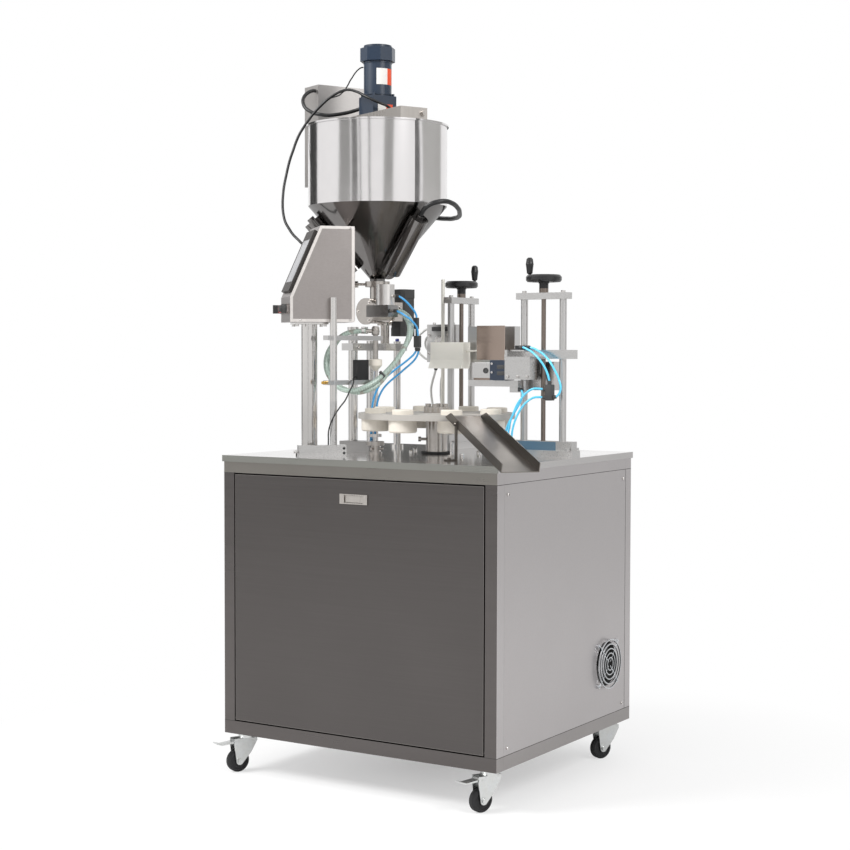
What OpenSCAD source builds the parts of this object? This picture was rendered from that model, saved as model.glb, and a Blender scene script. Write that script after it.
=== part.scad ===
// Rotary tube filling machine on a wheeled cabinet: hopper with stirrer, dosing pump, indexing
// turntable with tube cups, sealing and trimming lifts, discharge chute and operator panel.
// Millimetres, +Z up, floor at zero, the door side faces -Y.

/* [Cabinet] */
// Width of the table plate along the door side
table_w = 900; // [860:1:960]
// Depth of the table plate
table_d = 800; // [780:1:860]
// Height of the table top above the floor
table_h = 904; // [880:1:950]
// Thickness of the table plate
plate_t = 18; // [14:1:24]
// Overhang of the table plate past the frame
plate_lip = 4; // [2:1:8]
// Width of the square corner posts
post_w = 36; // [32:1:40]
// Wall of the frame tubes
tube_wall = 2; // [1.5:0.5:3]
// Drain hole under a closed rail
drain_d = 8; // [4:1:12]
// Height of the rails under the table
top_rail_h = 31; // [26:1:40]
// Height of the rails above the casters
bottom_rail_h = 37; // [32:1:45]
// Sheet thickness of the door and panels
sheet_t = 1.5; // [1:0.5:2.5]
// Depth of the folded edge of the door and panels
tray_d = 20; // [16:1:28]
// Gap round the door
door_gap = 4; // [3.5:0.5:6]
// Width of the door latch plate
latch_w = 90; // [76:1:110]
// Height of the door latch plate
latch_h = 27; // [25:1:34]
// Square frame of the cabinet fan
fan_w = 140; // [130:1:150]
// Depth of the cabinet fan
fan_d = 38; // [32:1:50]
// Height of the fan centre above the bottom rail
fan_rise = 151; // [120:1:240]

/* [Casters] */
// Diameter of a caster wheel
wheel_d = 65; // [60:1:68]
// Width of a caster wheel
wheel_w = 26; // [22:1:30]
// Height of a caster from the floor to the frame
caster_h = 112; // [108:1:120]
// Trail of a caster wheel behind its swivel
caster_trail = 30; // [26:1:34]
// Diameter of a caster axle
axle_d = 8; // [6:1:10]

/* [Turntable] */
// Diameter of the turntable disc
disc_d = 452; // [440:1:452]
// Thickness of the disc
disc_t = 16; // [12:1:20]
// Height of the disc's underside above the table
disc_z = 102; // [96:1:110]
// Radius of the cup circle
cup_circle_r = 180; // [170:1:184]
// Bore of a tube cup
cup_bore_d = 45; // [40:1:50]
// Outside diameter of a cup below the disc
cup_body_d = 80; // [72:1:86]
// Outside diameter of the cup collar above the disc
cup_collar_d = 60; // [56:1:66]
// Length of a cup below the disc
cup_drop = 35; // [28:1:38]
// Height of the cup collar above the disc
cup_collar_h = 14; // [10:1:18]
// Diameter of the turntable column
column_d = 62; // [56:1:70]
// Diameter of the turntable shaft
shaft_d = 30; // [24:1:35]
// Diameter of the tube lifter rod
lifter_d = 12; // [10:1:16]
// Diameter of the tube ejector pin
ejector_d = 9; // [8:1:12]

/* [Lift stands] */
// Diameter of the guide posts
guide_d = 20; // [18:1:22]
// Distance between the two guide posts
guide_pitch = 122; // [112:1:130]
// Height of the guide posts above the table
guide_h = 458; // [440:1:480]
// Diameter of the lead screw
screw_d = 13; // [12:1:16]
// Diameter of a handwheel
handwheel_d = 100; // [80:1:110]
// Height of a carriage's underside above the table
carriage_z = 274; // [268:1:290]
// Height of a carriage bar
carriage_h = 25; // [20:1:28]

/* [Operator panel] */
// Diameter of the panel post
hmi_post_d = 45; // [40:1:48]
// Height of the panel box's underside above the table
hmi_z = 376; // [362:1:390]
// Width of the panel box
hmi_w = 150; // [144:1:154]
// Depth of the panel box at its foot
hmi_foot = 183; // [175:1:188]
// Depth of the panel box at its top
hmi_top = 97; // [85:1:105]
// Height of the panel box
hmi_h = 268; // [255:1:275]
// Height of the upright strip that holds the controls
hmi_lip = 70; // [64:1:76]

/* [Hopper] */
// Outside radius of the hopper
hopper_r = 205; // [195:1:208]
// Height of the hopper rim above the table
hopper_rim = 958; // [940:1:980]
// Height of the hopper's straight wall
hopper_wall_h = 237; // [220:1:260]
// Height of the outlet above the table
hopper_outlet_z = 493; // [488:1:505]
// Outside diameter of the outlet pipe
outlet_d = 45; // [40:1:50]
// Sheet thickness of the hopper
hopper_t = 3; // [2:0.5:4]
// Outside diameter of the heater pockets on the cone
pocket_d = 56; // [48:1:60]
// Square of the stirrer gearbox
gearbox_w = 80; // [70:1:86]
// Width of the bridge channel over the rim
bridge_w = 90; // [88:1:100]
// Height of the bridge channel
bridge_h = 33; // [25:1:40]

/* [Chute] */
// Clear width of the discharge chute
chute_w = 104; // [92:1:110]
// Height of the chute walls
chute_wall = 25; // [20:1:34]
// Length of the chute along its slope
chute_len = 448; // [430:1:460]

/* [Hidden] */

$fn = 48;
// Clearances: weld seam, seat of a bolted piece, running fit, and room between moving faces
seam = 0.2;
seat = 0.15;
running = 0.05;
room = 0.3;
// Reach of a cut past a face
past = 1;

// Frame of the cabinet
frame_w = table_w - 2 * plate_lip;
frame_d = table_d - 2 * plate_lip;
frame_top = table_h - plate_t;
post_top = frame_top - top_rail_h;
post_foot = caster_h + bottom_rail_h;
bay_w = frame_w - 2 * post_w;
bay_d = frame_d - 2 * post_w;
door_w = bay_w - 2 * door_gap;
door_z = post_foot + door_gap;
door_h = post_top - door_gap - door_z;
hinge_in = 6;
hinge_pin_d = 8;
hinge_pin_reach = 5;
hinge_y = -frame_d / 2 + hinge_in;
hinge_z = door_z + hinge_in;

// Latch in the door
latch_t = 3;
latch_drop = 52;
latch_z = door_z + door_h - latch_drop;
latch_cup_d = 14;
latch_cup_w = latch_w - 26;
latch_cup_h = latch_h - 4;
latch_wall = 1.5;
paddle_w = latch_cup_w - 2 * latch_wall - 2;
paddle_h = latch_cup_h - 2 * latch_wall - 2;
paddle_t = 3;
paddle_pin_d = 3;
paddle_pin_y = -frame_d / 2 + 2.5;
paddle_pin_z = latch_z + paddle_h / 2 - 2;

// Fan in the right panel
fan_y = 240;
fan_z = post_foot + fan_rise;
fan_hole_d = fan_w - 12;
fan_back_x = frame_w / 2 - sheet_t - fan_d;
rotor_d = fan_hole_d - 6;
rotor_hub_d = 52;
rotor_shaft_d = 6;
guard_wire = 3;
guard_rings = [18, 31, 44, 57, 70];

// Casters
caster_inset = 45;
caster_plate = 70;
caster_plate_t = 3;
king_pin_d = 12;
fork_top = caster_h - caster_plate_t - 1;
fork_cap_t = 4;
fork_race_t = 11;
fork_sheet = 2.5;
fork_gap = 1.5;
axle_z = wheel_d / 2;
pedal_x = caster_trail + 8;
pedal_z = caster_h - 24;
pedal_pin_d = 6;
pedal_reach = 62;
corner_sign = [[-1, -1], [1, -1], [-1, 1], [1, 1]];
corner_heading = [-117, -115, -120, -118];
corner_name = ["front_left", "front_right", "rear_left", "rear_right"];

// Turntable
turn_x = 17;
turn_y = 0;
cup_count = 8;
disc_top = disc_z + disc_t;
cup_foot = disc_z - cup_drop;
cup_top = disc_top + cup_collar_h;
hub_d = 75;
hub_t = 17;
hub_bolts = 4;
hub_bolt_circle = 50;
column_ring_d = 90;
column_ring_t = 6;
drive_h = 120;
shaft_depth = plate_t + 90;
fill_station = 225;
eject_station = 315;
trim_station = 0;
seal_station = 45;

// Rods that lift and eject the tubes
lifter_top = 58;
lifter_cap_d = 36;
lifter_cap_t = 8;
lifter_low = -plate_t - 75;
ejector_top = 42;
ejector_low = -plate_t - 105;
cylinder_d = 40;
cylinder_len = 130;

// Chute
chute_turn = -39.5;
chute_slope = 16.2;
chute_t = 2;
chute_start = [160, -186, 114];
chute_run = chute_len * cos(chute_slope) + chute_wall * sin(chute_slope);
chute_along = [cos(chute_turn), sin(chute_turn)];
chute_across = [-sin(chute_turn), cos(chute_turn)];

// Hopper set, turned about its own axis
hopper_at = [-212, 35];
hopper_turn = -25;
hopper_wall_z = hopper_rim - hopper_wall_h;
outlet_r = outlet_d / 2;
outlet_pipe = 15;
cone_z = hopper_outlet_z + outlet_pipe;
cone_rise = hopper_wall_z - cone_z;
cone_run = hopper_r - outlet_r;
cone_lean = atan(cone_run / cone_rise);
ferrule_r = 32;
ferrule_t = 6;
rim_bead = 5;
pocket_turns = [-18, 102, 222];
pocket_len = 195;
pocket_start = 45;
pocket_sink = 8;
gland_d = 22;
gland_h = 10;
bridge_t = 2.5;
bridge_len = 2 * hopper_r - 10;
gearbox_z = hopper_rim + rim_bead + bridge_t;
gearbox_h = 80;
motor_d = 82;
motor_h = 100;
motor_cap = 96;
motor_cap_h = 47;
stir_shaft_d = 15;
stir_low = 560;
box_near = hopper_r + 10;
box_deep = 85;
box_w = 160;
box_h = 304;
box_z = 798;
box_t = 2;

// Dosing pump under the hopper
pump_turn = -12;
pump_z = 412;
pump_d = 72;
pump_front = 43;
pump_back = 40;
cover_d = 78;
cover_t = 8;
stub_d = 26;
stub_back = 40;
servo_w = 60;
servo_z = 340;
servo_h = 140;
servo_back = 106;

// Stand of the filling unit
fill_x = -255;
fill_posts = [[-30, 27, 366], [72, 35, 326], [208, 22, 325]];
crosshead_z = 297;
crosshead_h = 21;
crosshead_w = 40;
rod_at = [-151.6, -276.3];
rod_top = 444;
arm_h = 13;
arm_w = 22;
upper_arm_z = 325;
lower_arm_z = 200;
nozzle_stem_d = 14;
barb_turns = [215, 175];
barb_reach = 28;
barb_z = 352;

// Lift stands for sealing and trimming
seal_at = [-75, 290];
seal_drop = 12;
seal_barbs = [[290, 366], [308, 350], [290, 268], [308, 290]];
trim_at = [348.5, 30];
base_plate_h = 20;
base_bar_h = 25;
base_bar_w = 34;
bar_w = 28;
top_plate_h = 18;
wheel_z = guide_h + 26;
wheel_rim_h = 24;
handle_len = 48;

// Operator panel
hmi_at = [-251.9, -252.7];
hmi_turn = 46.5;
hmi_front = 68;
hmi_sheet = 2;
hmi_slope = atan((hmi_h - hmi_lip) / (hmi_foot - hmi_top));
hmi_slope_len = norm([hmi_h - hmi_lip, hmi_foot - hmi_top]);
bezel_len = hmi_slope_len - 30;
bezel_w = hmi_w - 28;
bezel_t = 9;
control_pitch = 45;
control_z = hmi_z + 37;
ring_d = 28;
ring_t = 6;
stem_d = 16;

// Overall reach in plan, and the shift that centres it on the origin
reach_right = chute_start.x + chute_run * chute_along.x + chute_w * chute_across.x;
reach_front = chute_start.y + chute_run * chute_along.y;
reach_left = hopper_at.x - (box_near + box_deep + 1.5) * cos(hopper_turn)
    + (box_w / 2 - box_t - room) * sin(hopper_turn);
reach_back = table_d / 2;
plan_shift = [-(reach_left + reach_right) / 2, -(reach_front + reach_back) / 2, 0];

// Cord sizes and routes, in table coordinates
hose_d = 14;
air_d = 6;
seal_air_d = 7;
conduit_d = 11;
heater_conduit_d = 14;
cable_d = 8;
wire_d = 4;
hose_routes = [
    [[-146, 25, 413], [-141, 25, 413], [-120, 24, 406], [-99, 20, 389], [-85, 11, 367], [-77, -2, 344],
        [-74, -18, 322], [-73, -37, 301], [-73, -57, 283], [-75, -78, 265], [-77, -100, 249],
        [-81, -122, 233], [-86, -145, 218], [-95, -167, 204], [-109, -188, 192], [-129, -204, 184],
        [-155, -213, 184], [-180, -215, 194], [-201, -214, 212], [-218, -212, 234], [-227, -207, 259],
        [-226, -201, 286], [-215, -194, 310], [-199, -185, 330], [-179, -173, 345], [-156, -159, 351],
        [-137.5, -146.4, 352], [-133.4, -143.5, 352]],
    [[-146, 43, 413], [-141, 43, 413], [-120, 43, 405], [-99, 39, 387], [-88, 29, 364], [-84, 15, 341],
        [-84, -2, 319], [-85, -21, 299], [-87, -41, 280], [-88, -61, 262], [-90, -82, 243],
        [-92, -102, 225], [-95, -124, 207], [-102, -145, 192], [-116, -167, 182], [-136, -185, 178],
        [-160, -196, 184], [-185, -199, 195], [-207, -199, 213], [-221, -196, 235], [-228, -190, 262],
        [-226, -183, 288], [-217, -176, 313], [-202, -168, 335], [-183, -154, 348], [-163, -135, 352],
        [-143.4, -124.4, 352], [-138.4, -124.8, 352]]];
fill_air_routes = [
    [[-111.8, -17, 455], [-106.8, -17, 455], [-100, -14, 452], [-92, -7, 445], [-87, 2, 437],
        [-84, 12, 429], [-83, 22, 421], [-82, 32, 414], [-82, 41, 405], [-82, 46, 398.2],
        [-82, 46, 393.2]],
    [[-118.6, -17, 412], [-113.6, -17, 412], [-106, -16, 410], [-95, -11, 404], [-87, -5, 397],
        [-80, 4, 390], [-76, 13, 382], [-72, 22, 373], [-71, 31, 364], [-72, 37, 353],
        [-73, 40, 345.2], [-73, 40, 340.2]],
    [[-82, 46, 359.8], [-82, 46, 354.8], [-81, 45, 353], [-81, 43, 347], [-80, 42, 345.2],
        [-80, 42, 340.2]],
    [[-79, 42, 305.8], [-79, 42, 300.8], [-87, 41, 287], [-103, 39, 273], [-120, 36, 260],
        [-137, 33, 248], [-154, 29, 235], [-170, 25, 222], [-185, 22, 207], [-198, 20, 190],
        [-207, 18, 171], [-214, 17, 151], [-218, 16, 130], [-221, 16, 109], [-222, 16, 88],
        [-222, 16, 66], [-222, 16, 45], [-222, 16, 24], [-222, 16, 3], [-222, 16, -19],
        [-222, 16, -35], [-222, 16, -40]],
    [[-72, 42, 305.8], [-72, 42, 300.8], [-77, 45, 286], [-90, 47, 269], [-106, 46, 255],
        [-123, 44, 242], [-139, 42, 229], [-156, 39, 216], [-172, 36, 203], [-187, 34, 188],
        [-199, 32, 170], [-207, 31, 151], [-212, 31, 130], [-215, 31, 109], [-216, 31, 88],
        [-217, 31, 66], [-217, 31, 45], [-217, 31, 24], [-217, 31, 3], [-217, 31, -19],
        [-217, 31, -35], [-217, 31, -40]]];
seal_air_routes = [
    [[-184, 290, 366], [-189, 290, 366], [-195, 290, 364], [-205, 288, 360], [-213, 287, 354],
        [-221, 285, 347], [-227, 284, 338], [-231, 282, 328], [-232, 282, 317], [-231, 282, 306],
        [-227, 284, 296], [-221, 285, 287], [-213, 287, 280], [-205, 288, 274], [-195, 290, 270],
        [-189, 290, 268], [-184, 290, 268]],
    [[-184, 308, 350], [-189, 308, 350], [-192, 308, 349], [-199, 307, 346], [-205, 306, 341],
        [-210, 305, 335], [-213, 305, 328], [-214, 305, 320], [-213, 305, 312], [-210, 305, 305],
        [-205, 306, 299], [-199, 307, 294], [-192, 308, 291], [-189, 308, 290], [-184, 308, 290]],
    [[-164, 286, 247.8], [-164, 286, 242.8], [-167, 284, 226], [-171, 279, 204], [-173, 274, 182],
        [-170, 270, 160], [-164, 266, 139], [-156, 262, 118], [-149, 259, 97], [-143, 257, 75],
        [-139, 256, 53], [-137, 256, 30], [-137, 256, 8], [-137, 256, -15], [-138, 256, -37],
        [-138, 256, -55], [-138, 256, -60]],
    [[-148, 300, 247.8], [-148, 300, 242.8], [-149, 300, 226], [-152, 298, 204], [-152, 296, 181],
        [-150, 293, 160], [-146, 290, 138], [-141, 287, 117], [-136, 284, 95], [-133, 282, 73],
        [-131, 280, 51], [-130, 280, 29], [-129, 280, 7], [-130, 280, -16], [-130, 280, -38],
        [-130, 280, -55], [-130, 280, -60]]];
trim_air_routes = [
    [[294, -9, 306], [299, -9, 306], [309, -11, 305], [322, -14, 300], [335, -18, 295],
        [348, -22, 287], [359, -25, 279], [370, -28, 269], [380, -30, 258], [388, -31, 246],
        [395, -33, 233], [400, -34, 219], [402, -34, 209], [402, -34, 204]],
    [[312, 1, 306], [317, 1, 306], [326, 0, 305], [340, -2, 301], [353, -5, 295], [366, -9, 289],
        [377, -12, 281], [388, -15, 272], [398, -19, 262], [407, -22, 251], [415, -24, 239],
        [423, -26, 227], [429, -28, 214], [434, -30, 200], [433, -31, 186], [426, -32, 174],
        [417, -33, 170], [412, -33, 170]],
    [[392, -32, 190], [387, -32, 190], [371, -34, 192], [351, -37, 191], [333, -41, 180],
        [319, -45, 164], [308, -48, 147], [300, -51, 127], [293, -54, 108], [288, -55, 87],
        [285, -56, 66], [283, -56, 45], [282, -56, 24], [282, -56, 3], [282, -56, -18],
        [282, -56, -39], [282, -56, -55], [282, -56, -60]],
    [[392, -34, 168], [387, -34, 168], [373, -36, 169], [355, -41, 167], [339, -45, 157],
        [327, -49, 144], [317, -52, 128], [309, -55, 110], [303, -57, 92], [299, -58, 74],
        [297, -58, 55], [296, -58, 35], [296, -58, 16], [296, -58, -3], [296, -58, -22],
        [296, -58, -41], [296, -58, -55], [296, -58, -60]],
    [[288.2, -2, 188], [293.2, -2, 188], [303, -8, 178], [305, -17, 162], [300, -25, 145],
        [293, -32, 128], [285, -37, 111], [277, -40, 94], [271, -42, 75], [268, -43, 56],
        [266, -44, 37], [266, -44, 18], [266, -44, -2], [266, -44, -21], [266, -44, -41],
        [266, -44, -55], [266, -44, -60]]];
cable_routes = [
    [[-247.5, 12.6, 1130], [-251.7, 9.9, 1130], [-260, 6, 1125], [-272, 4, 1114], [-283, 7, 1104],
        [-295, 12, 1095], [-306, 20, 1088], [-318, 28, 1081], [-330, 36, 1075], [-342, 44, 1071],
        [-355, 53, 1068], [-368, 61, 1065], [-382, 68, 1064], [-396, 76, 1064], [-410, 83, 1064],
        [-419.1, 87.5, 1064], [-423.6, 89.6, 1064]],
    [[-458.8, 61.7, 1085], [-460.9, 57.2, 1085], [-467, 46, 1081], [-473, 32, 1070], [-473, 20, 1055],
        [-466, 12, 1040], [-454, 7, 1026], [-439, 6, 1016], [-422, 9, 1008], [-404, 12, 1004],
        [-386, 17, 1001], [-368, 24, 1001], [-352, 32, 1003], [-336, 42, 1006], [-319, 50, 1010],
        [-302, 57, 1015], [-284, 59, 1020], [-266, 58, 1023], [-252.9, 54.1, 1025], [-248.4, 52, 1025]],
    [[-172.2, 25.2, 1000], [-167.7, 23.1, 1000], [-153, 11, 1003], [-152, -11, 1009],
        [-167, -28, 1017], [-187, -37, 1027], [-209, -38, 1038], [-231, -34, 1049], [-253, -27, 1057],
        [-274, -17, 1063], [-296, -7, 1066], [-319, 1, 1065], [-342, 4, 1059], [-364, 4, 1049],
        [-384, 0, 1034], [-400, -6, 1018], [-415, -13, 1000], [-428, -20, 980], [-438, -29, 960],
        [-447, -37, 939], [-453, -45, 916], [-457, -52, 894], [-461, -60, 871], [-464, -67, 847],
        [-465, -74, 824], [-465, -82, 801], [-463, -91, 779], [-459, -100, 757], [-453, -110, 735],
        [-445, -120, 714], [-436, -128, 694], [-424, -135, 673], [-409, -138, 654], [-393, -140, 636],
        [-374, -142, 621], [-354, -149, 608], [-334, -160, 600], [-317, -176, 597],
        [-303.2, -190.2, 596], [-299.6, -193.6, 596]],
    [[-21.3, -27, 685], [-18.2, -28, 688.8], [-4, -34, 702], [17, -34, 714], [37, -21, 721],
        [48, 1, 723], [50, 26, 720], [47, 50, 716], [41, 74, 710], [32, 97, 706], [20, 119, 702],
        [8, 140, 699], [-5, 161, 696], [-20, 181, 695], [-37, 200, 694], [-56, 216, 694],
        [-77, 231, 694], [-98, 243, 696], [-121, 254, 698], [-144, 262, 701], [-168, 269, 704],
        [-193, 272, 706], [-218, 273, 709], [-243, 272, 711], [-267, 267, 713], [-291, 260, 715],
        [-315, 251, 716], [-337, 239, 717], [-358, 226, 719], [-378, 211, 722], [-397, 195, 727],
        [-413, 179, 737], [-427, 164, 751], [-434, 155, 773], [-436, 152, 792.8], [-436, 152, 797.8]],
    [[-126.7, -201.4, 222], [-128, -206.2, 222], [-126, -216, 218], [-118, -226, 208],
        [-117, -235, 196], [-120, -243, 182], [-123, -250, 168], [-126, -258, 155], [-129, -269, 144],
        [-133, -279, 132], [-138, -287, 119], [-144, -291, 106], [-150, -293, 91], [-156, -292, 76],
        [-161, -288, 62], [-165, -282, 48], [-167, -279.5, 37.2], [-167, -279.5, 32.2]]];
air_passes = [[-138, 256], [-130, 280], [282, -56], [296, -58], [266, -44], [-222, 16], [-217, 31]];
pass_d = 9;

// Points of the plan circle that the cups and stations share
function station(a) = [turn_x + cup_circle_r * cos(a), turn_y + cup_circle_r * sin(a)];
fill_at = station(fill_station);
eject_at = station(eject_station);
trim_cup = station(trim_station);
seal_cup = station(seal_station);
arm_turn = atan2(fill_at.y - rod_at.y, fill_at.x - rod_at.x);

// Smooth curve through a route, and the sweep of a round section along it
function unit(v) = v / norm(v);
function bend(a, b, c, d, t) = 0.5 * (2 * b + (c - a) * t + (2 * a - 5 * b + 4 * c - d) * t * t
    + (3 * b - a - 3 * c + d) * t * t * t);
function knot(p, i) = i < 0 ? 2 * p[0] - p[1] : i >= len(p) ? 2 * p[len(p) - 1] - p[len(p) - 2] : p[i];
function smooth_route(p, steps) = concat([for (i = [0:len(p) - 2]) for (k = [0:steps - 1])
    bend(knot(p, i - 1), p[i], p[i + 1], knot(p, i + 2), k / steps)], [p[len(p) - 1]]);
function heading(p, i) = unit(p[min(i + 1, len(p) - 1)] - p[max(i - 1, 0)]);
function across(t) = unit(cross(t, abs(t.z) < 0.8 ? [0, 0, 1] : [1, 0, 0]));
function sides_of(p, i = 0, last = [0, 0, 0]) = i == len(p) ? [] :
    let (t = heading(p, i), n = i == 0 ? across(t) : unit(last - t * (last * t)))
    concat([n], sides_of(p, i + 1, n));

module cord(route, d, steps = 1, sides = 8) {
    p = smooth_route(route, steps);
    n = sides_of(p);
    last = len(p) - 1;
    points = [for (i = [0:last]) for (k = [0:sides - 1])
        let (a = 360 * k / sides, b = cross(heading(p, i), n[i]))
        p[i] + d / 2 * (cos(a) * n[i] + sin(a) * b)];
    skin = [for (i = [0:last - 1]) for (k = [0:sides - 1])
        [i * sides + k, (i + 1) * sides + k, (i + 1) * sides + (k + 1) % sides,
        i * sides + (k + 1) % sides]];
    start_cap = [for (k = [0:sides - 1]) k];
    end_cap = [for (k = [sides - 1:-1:0]) last * sides + k];
    polyhedron(points, concat(skin, [start_cap, end_cap]));
}

// Placing helpers
module plan() {
    translate(plan_shift) children();
}
module on_table() {
    translate([plan_shift.x, plan_shift.y, table_h]) children();
}
module upright(d, h, x = 0, y = 0, z = 0) {
    translate([x, y, z]) cylinder(d = d, h = h);
}
module lying_x(d, len, x = 0, y = 0, z = 0) {
    translate([x, y, z]) rotate([0, 90, 0]) cylinder(d = d, h = len);
}
module lying_y(d, len, x = 0, y = 0, z = 0) {
    translate([x, y, z]) rotate([-90, 0, 0]) cylinder(d = d, h = len);
}
module block(from, to) {
    translate(from) cube(to - from);
}
module tube_x(len, w, h, x, y, z) {
    difference() {
        block([x, y, z], [x + len, y + w, z + h]);
        block([x + tube_wall, y + tube_wall, z + tube_wall],
            [x + len - tube_wall, y + w - tube_wall, z + h - tube_wall]);
        upright(drain_d, tube_wall + 2 * past, x + len / 2, y + w / 2, z - past);
    }
}
module tube_y(len, w, h, x, y, z) {
    difference() {
        block([x, y, z], [x + w, y + len, z + h]);
        block([x + tube_wall, y - past, z + tube_wall],
            [x + w - tube_wall, y + len + past, z + h - tube_wall]);
    }
}

// Cabinet
module frame_post(sx, sy) {
    x = sx < 0 ? -frame_w / 2 : frame_w / 2 - post_w;
    y = sy < 0 ? -frame_d / 2 : frame_d / 2 - post_w;
    difference() {
        block([x, y, post_foot + seam], [x + post_w, y + post_w, post_top - seam]);
        block([x + tube_wall, y + tube_wall, post_foot - past],
            [x + post_w - tube_wall, y + post_w - tube_wall, post_top + past]);
        lying_x(hinge_pin_d + 2 * running, door_w + 2 * door_gap + 2 * tube_wall + 2 * past,
            -bay_w / 2 - tube_wall - past, hinge_y, hinge_z);
    }
}
module rail_ring(z, h) {
    for (side = [-1, 1]) {
        tube_x(frame_w, post_w, h, -frame_w / 2, side < 0 ? -frame_d / 2 : frame_d / 2 - post_w, z);
        tube_y(bay_d - 2 * seam, post_w, h, side < 0 ? -frame_w / 2 : frame_w / 2 - post_w,
            -bay_d / 2 + seam, z);
    }
}
module caster_plate_and_pin() {
    difference() {
        block([-caster_plate / 2, -caster_plate / 2, caster_h - caster_plate_t],
            [caster_plate / 2, caster_plate / 2, caster_h - seam]);
        for (x = [-1, 1]) for (y = [-1, 1])
            upright(8, caster_plate_t + 2 * past, x * 26, y * 26, caster_h - caster_plate_t - past);
    }
    upright(king_pin_d, caster_plate_t + fork_cap_t + fork_race_t + 1, 0, 0,
        fork_top - fork_race_t - fork_cap_t);
    upright(king_pin_d + 8, 5, 0, 0, fork_top - fork_race_t - fork_cap_t - 5 - room + seam);
}
module corner_place(i) {
    translate([corner_sign[i].x * (frame_w / 2 - caster_inset),
        corner_sign[i].y * (frame_d / 2 - caster_inset), 0]) children();
}
module base_frame() {
    color("dimgray") plan() {
        for (sx = [-1, 1]) for (sy = [-1, 1]) frame_post(sx, sy);
        rail_ring(post_top, top_rail_h);
        rail_ring(caster_h, bottom_rail_h);
        for (i = [0:3]) corner_place(i) caster_plate_and_pin();
    }
}
module table_plate() {
    color("silver") on_table() difference() {
        block([-table_w / 2, -table_d / 2, -plate_t + seam], [table_w / 2, table_d / 2, 0]);
        upright(shaft_d + 4, plate_t + 2 * past, turn_x, turn_y, -plate_t - past);
        upright(lifter_d + 4, plate_t + 2 * past, fill_at.x, fill_at.y, -plate_t - past);
        upright(ejector_d + 4, plate_t + 2 * past, eject_at.x, eject_at.y, -plate_t - past);
        for (p = air_passes) upright(pass_d, plate_t + 2 * past, p.x, p.y, -plate_t - past);
    }
}
module latch_opening(grow, deep) {
    block([-latch_cup_w / 2 - grow, -frame_d / 2 - past, latch_z - latch_cup_h / 2 - grow],
        [latch_cup_w / 2 + grow, -frame_d / 2 + deep, latch_z + latch_cup_h / 2 + grow]);
}
module front_door() {
    color("dimgray") plan() {
        difference() {
            block([-door_w / 2, -frame_d / 2, door_z],
                [door_w / 2, -frame_d / 2 + tray_d, door_z + door_h]);
            block([-door_w / 2 + sheet_t, -frame_d / 2 + sheet_t, door_z + sheet_t],
                [door_w / 2 - sheet_t, -frame_d / 2 + tray_d + past, door_z + door_h - sheet_t]);
            latch_opening(seam, tray_d);
        }
        for (side = [-1, 1])
            lying_x(hinge_pin_d, door_gap + hinge_pin_reach + sheet_t,
                side < 0 ? -door_w / 2 - door_gap - hinge_pin_reach : door_w / 2 - sheet_t,
                    hinge_y, hinge_z);
    }
}
module latch_plate() {
    color("silver") plan() difference() {
        union() {
            block([-latch_w / 2, -frame_d / 2 - latch_t, latch_z - latch_h / 2],
                [latch_w / 2, -frame_d / 2 - seam, latch_z + latch_h / 2]);
            block([-latch_cup_w / 2, -frame_d / 2 - latch_t, latch_z - latch_cup_h / 2],
                [latch_cup_w / 2, -frame_d / 2 + latch_cup_d, latch_z + latch_cup_h / 2]);
        }
        block([-latch_cup_w / 2 + latch_wall, -frame_d / 2 - latch_t - past,
                latch_z - latch_cup_h / 2 + latch_wall],
            [latch_cup_w / 2 - latch_wall, -frame_d / 2 + latch_cup_d - latch_wall,
                latch_z + latch_cup_h / 2 - latch_wall]);
        lying_x(paddle_pin_d + 2 * running, latch_cup_w + 2 * past, -latch_cup_w / 2 - past,
            paddle_pin_y, paddle_pin_z);
    }
}
module latch_paddle() {
    color("gainsboro") plan() {
        block([-paddle_w / 2, paddle_pin_y - paddle_t / 2, latch_z - paddle_h / 2],
            [paddle_w / 2, paddle_pin_y + paddle_t / 2, paddle_pin_z + 2]);
        lying_x(paddle_pin_d, latch_cup_w - 1, -latch_cup_w / 2 + 0.5, paddle_pin_y, paddle_pin_z);
    }
}
module panel_tray(w, h) {
    difference() {
        block([-w / 2, 0, 0], [w / 2, tray_d, h]);
        block([-w / 2 + sheet_t, sheet_t, sheet_t], [w / 2 - sheet_t, tray_d + past, h - sheet_t]);
    }
}
module side_panels() {
    panel_h = post_top - post_foot - 2 * room;
    color("darkgray") plan() {
        difference() {
            translate([frame_w / 2, 0, post_foot + room]) rotate([0, 0, 90])
                panel_tray(bay_d - 2 * room, panel_h);
            lying_x(fan_hole_d, tray_d + 2 * past, frame_w / 2 - tray_d - past, fan_y, fan_z);
        }
        translate([-frame_w / 2, 0, post_foot + room]) rotate([0, 0, -90])
            panel_tray(bay_d - 2 * room, panel_h);
        translate([0, frame_d / 2, post_foot + room]) rotate([0, 0, 180])
            panel_tray(bay_w - 2 * room, panel_h);
    }
}
module floor_pan() {
    pan_z = caster_h + bottom_rail_h / 2;
    pan_t = 3;
    foot_z = pan_z + pan_t + seam;
    back_y = frame_d / 2 - post_w - 60;
    color("gray") plan() {
        block([-bay_w / 2 + seam, -bay_d / 2 + seam, pan_z],
            [bay_w / 2 - seam, bay_d / 2 - seam, pan_z + pan_t]);
        block([-280, back_y, foot_z], [220, back_y + 3, foot_z + 460]);
        block([-280, back_y - 60, foot_z], [220, back_y - seam, foot_z + 3]);
        for (row = [90, 230, 360]) {
            block([-240, back_y - 8, foot_z + row], [180, back_y - seam, foot_z + row + 35]);
            for (k = [0:3])
                block([-220 + 100 * k, back_y - 75, foot_z + row - 25],
                    [-150 + 100 * k, back_y - 8 - seam, foot_z + row + 60]);
        }
    }
}
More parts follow.
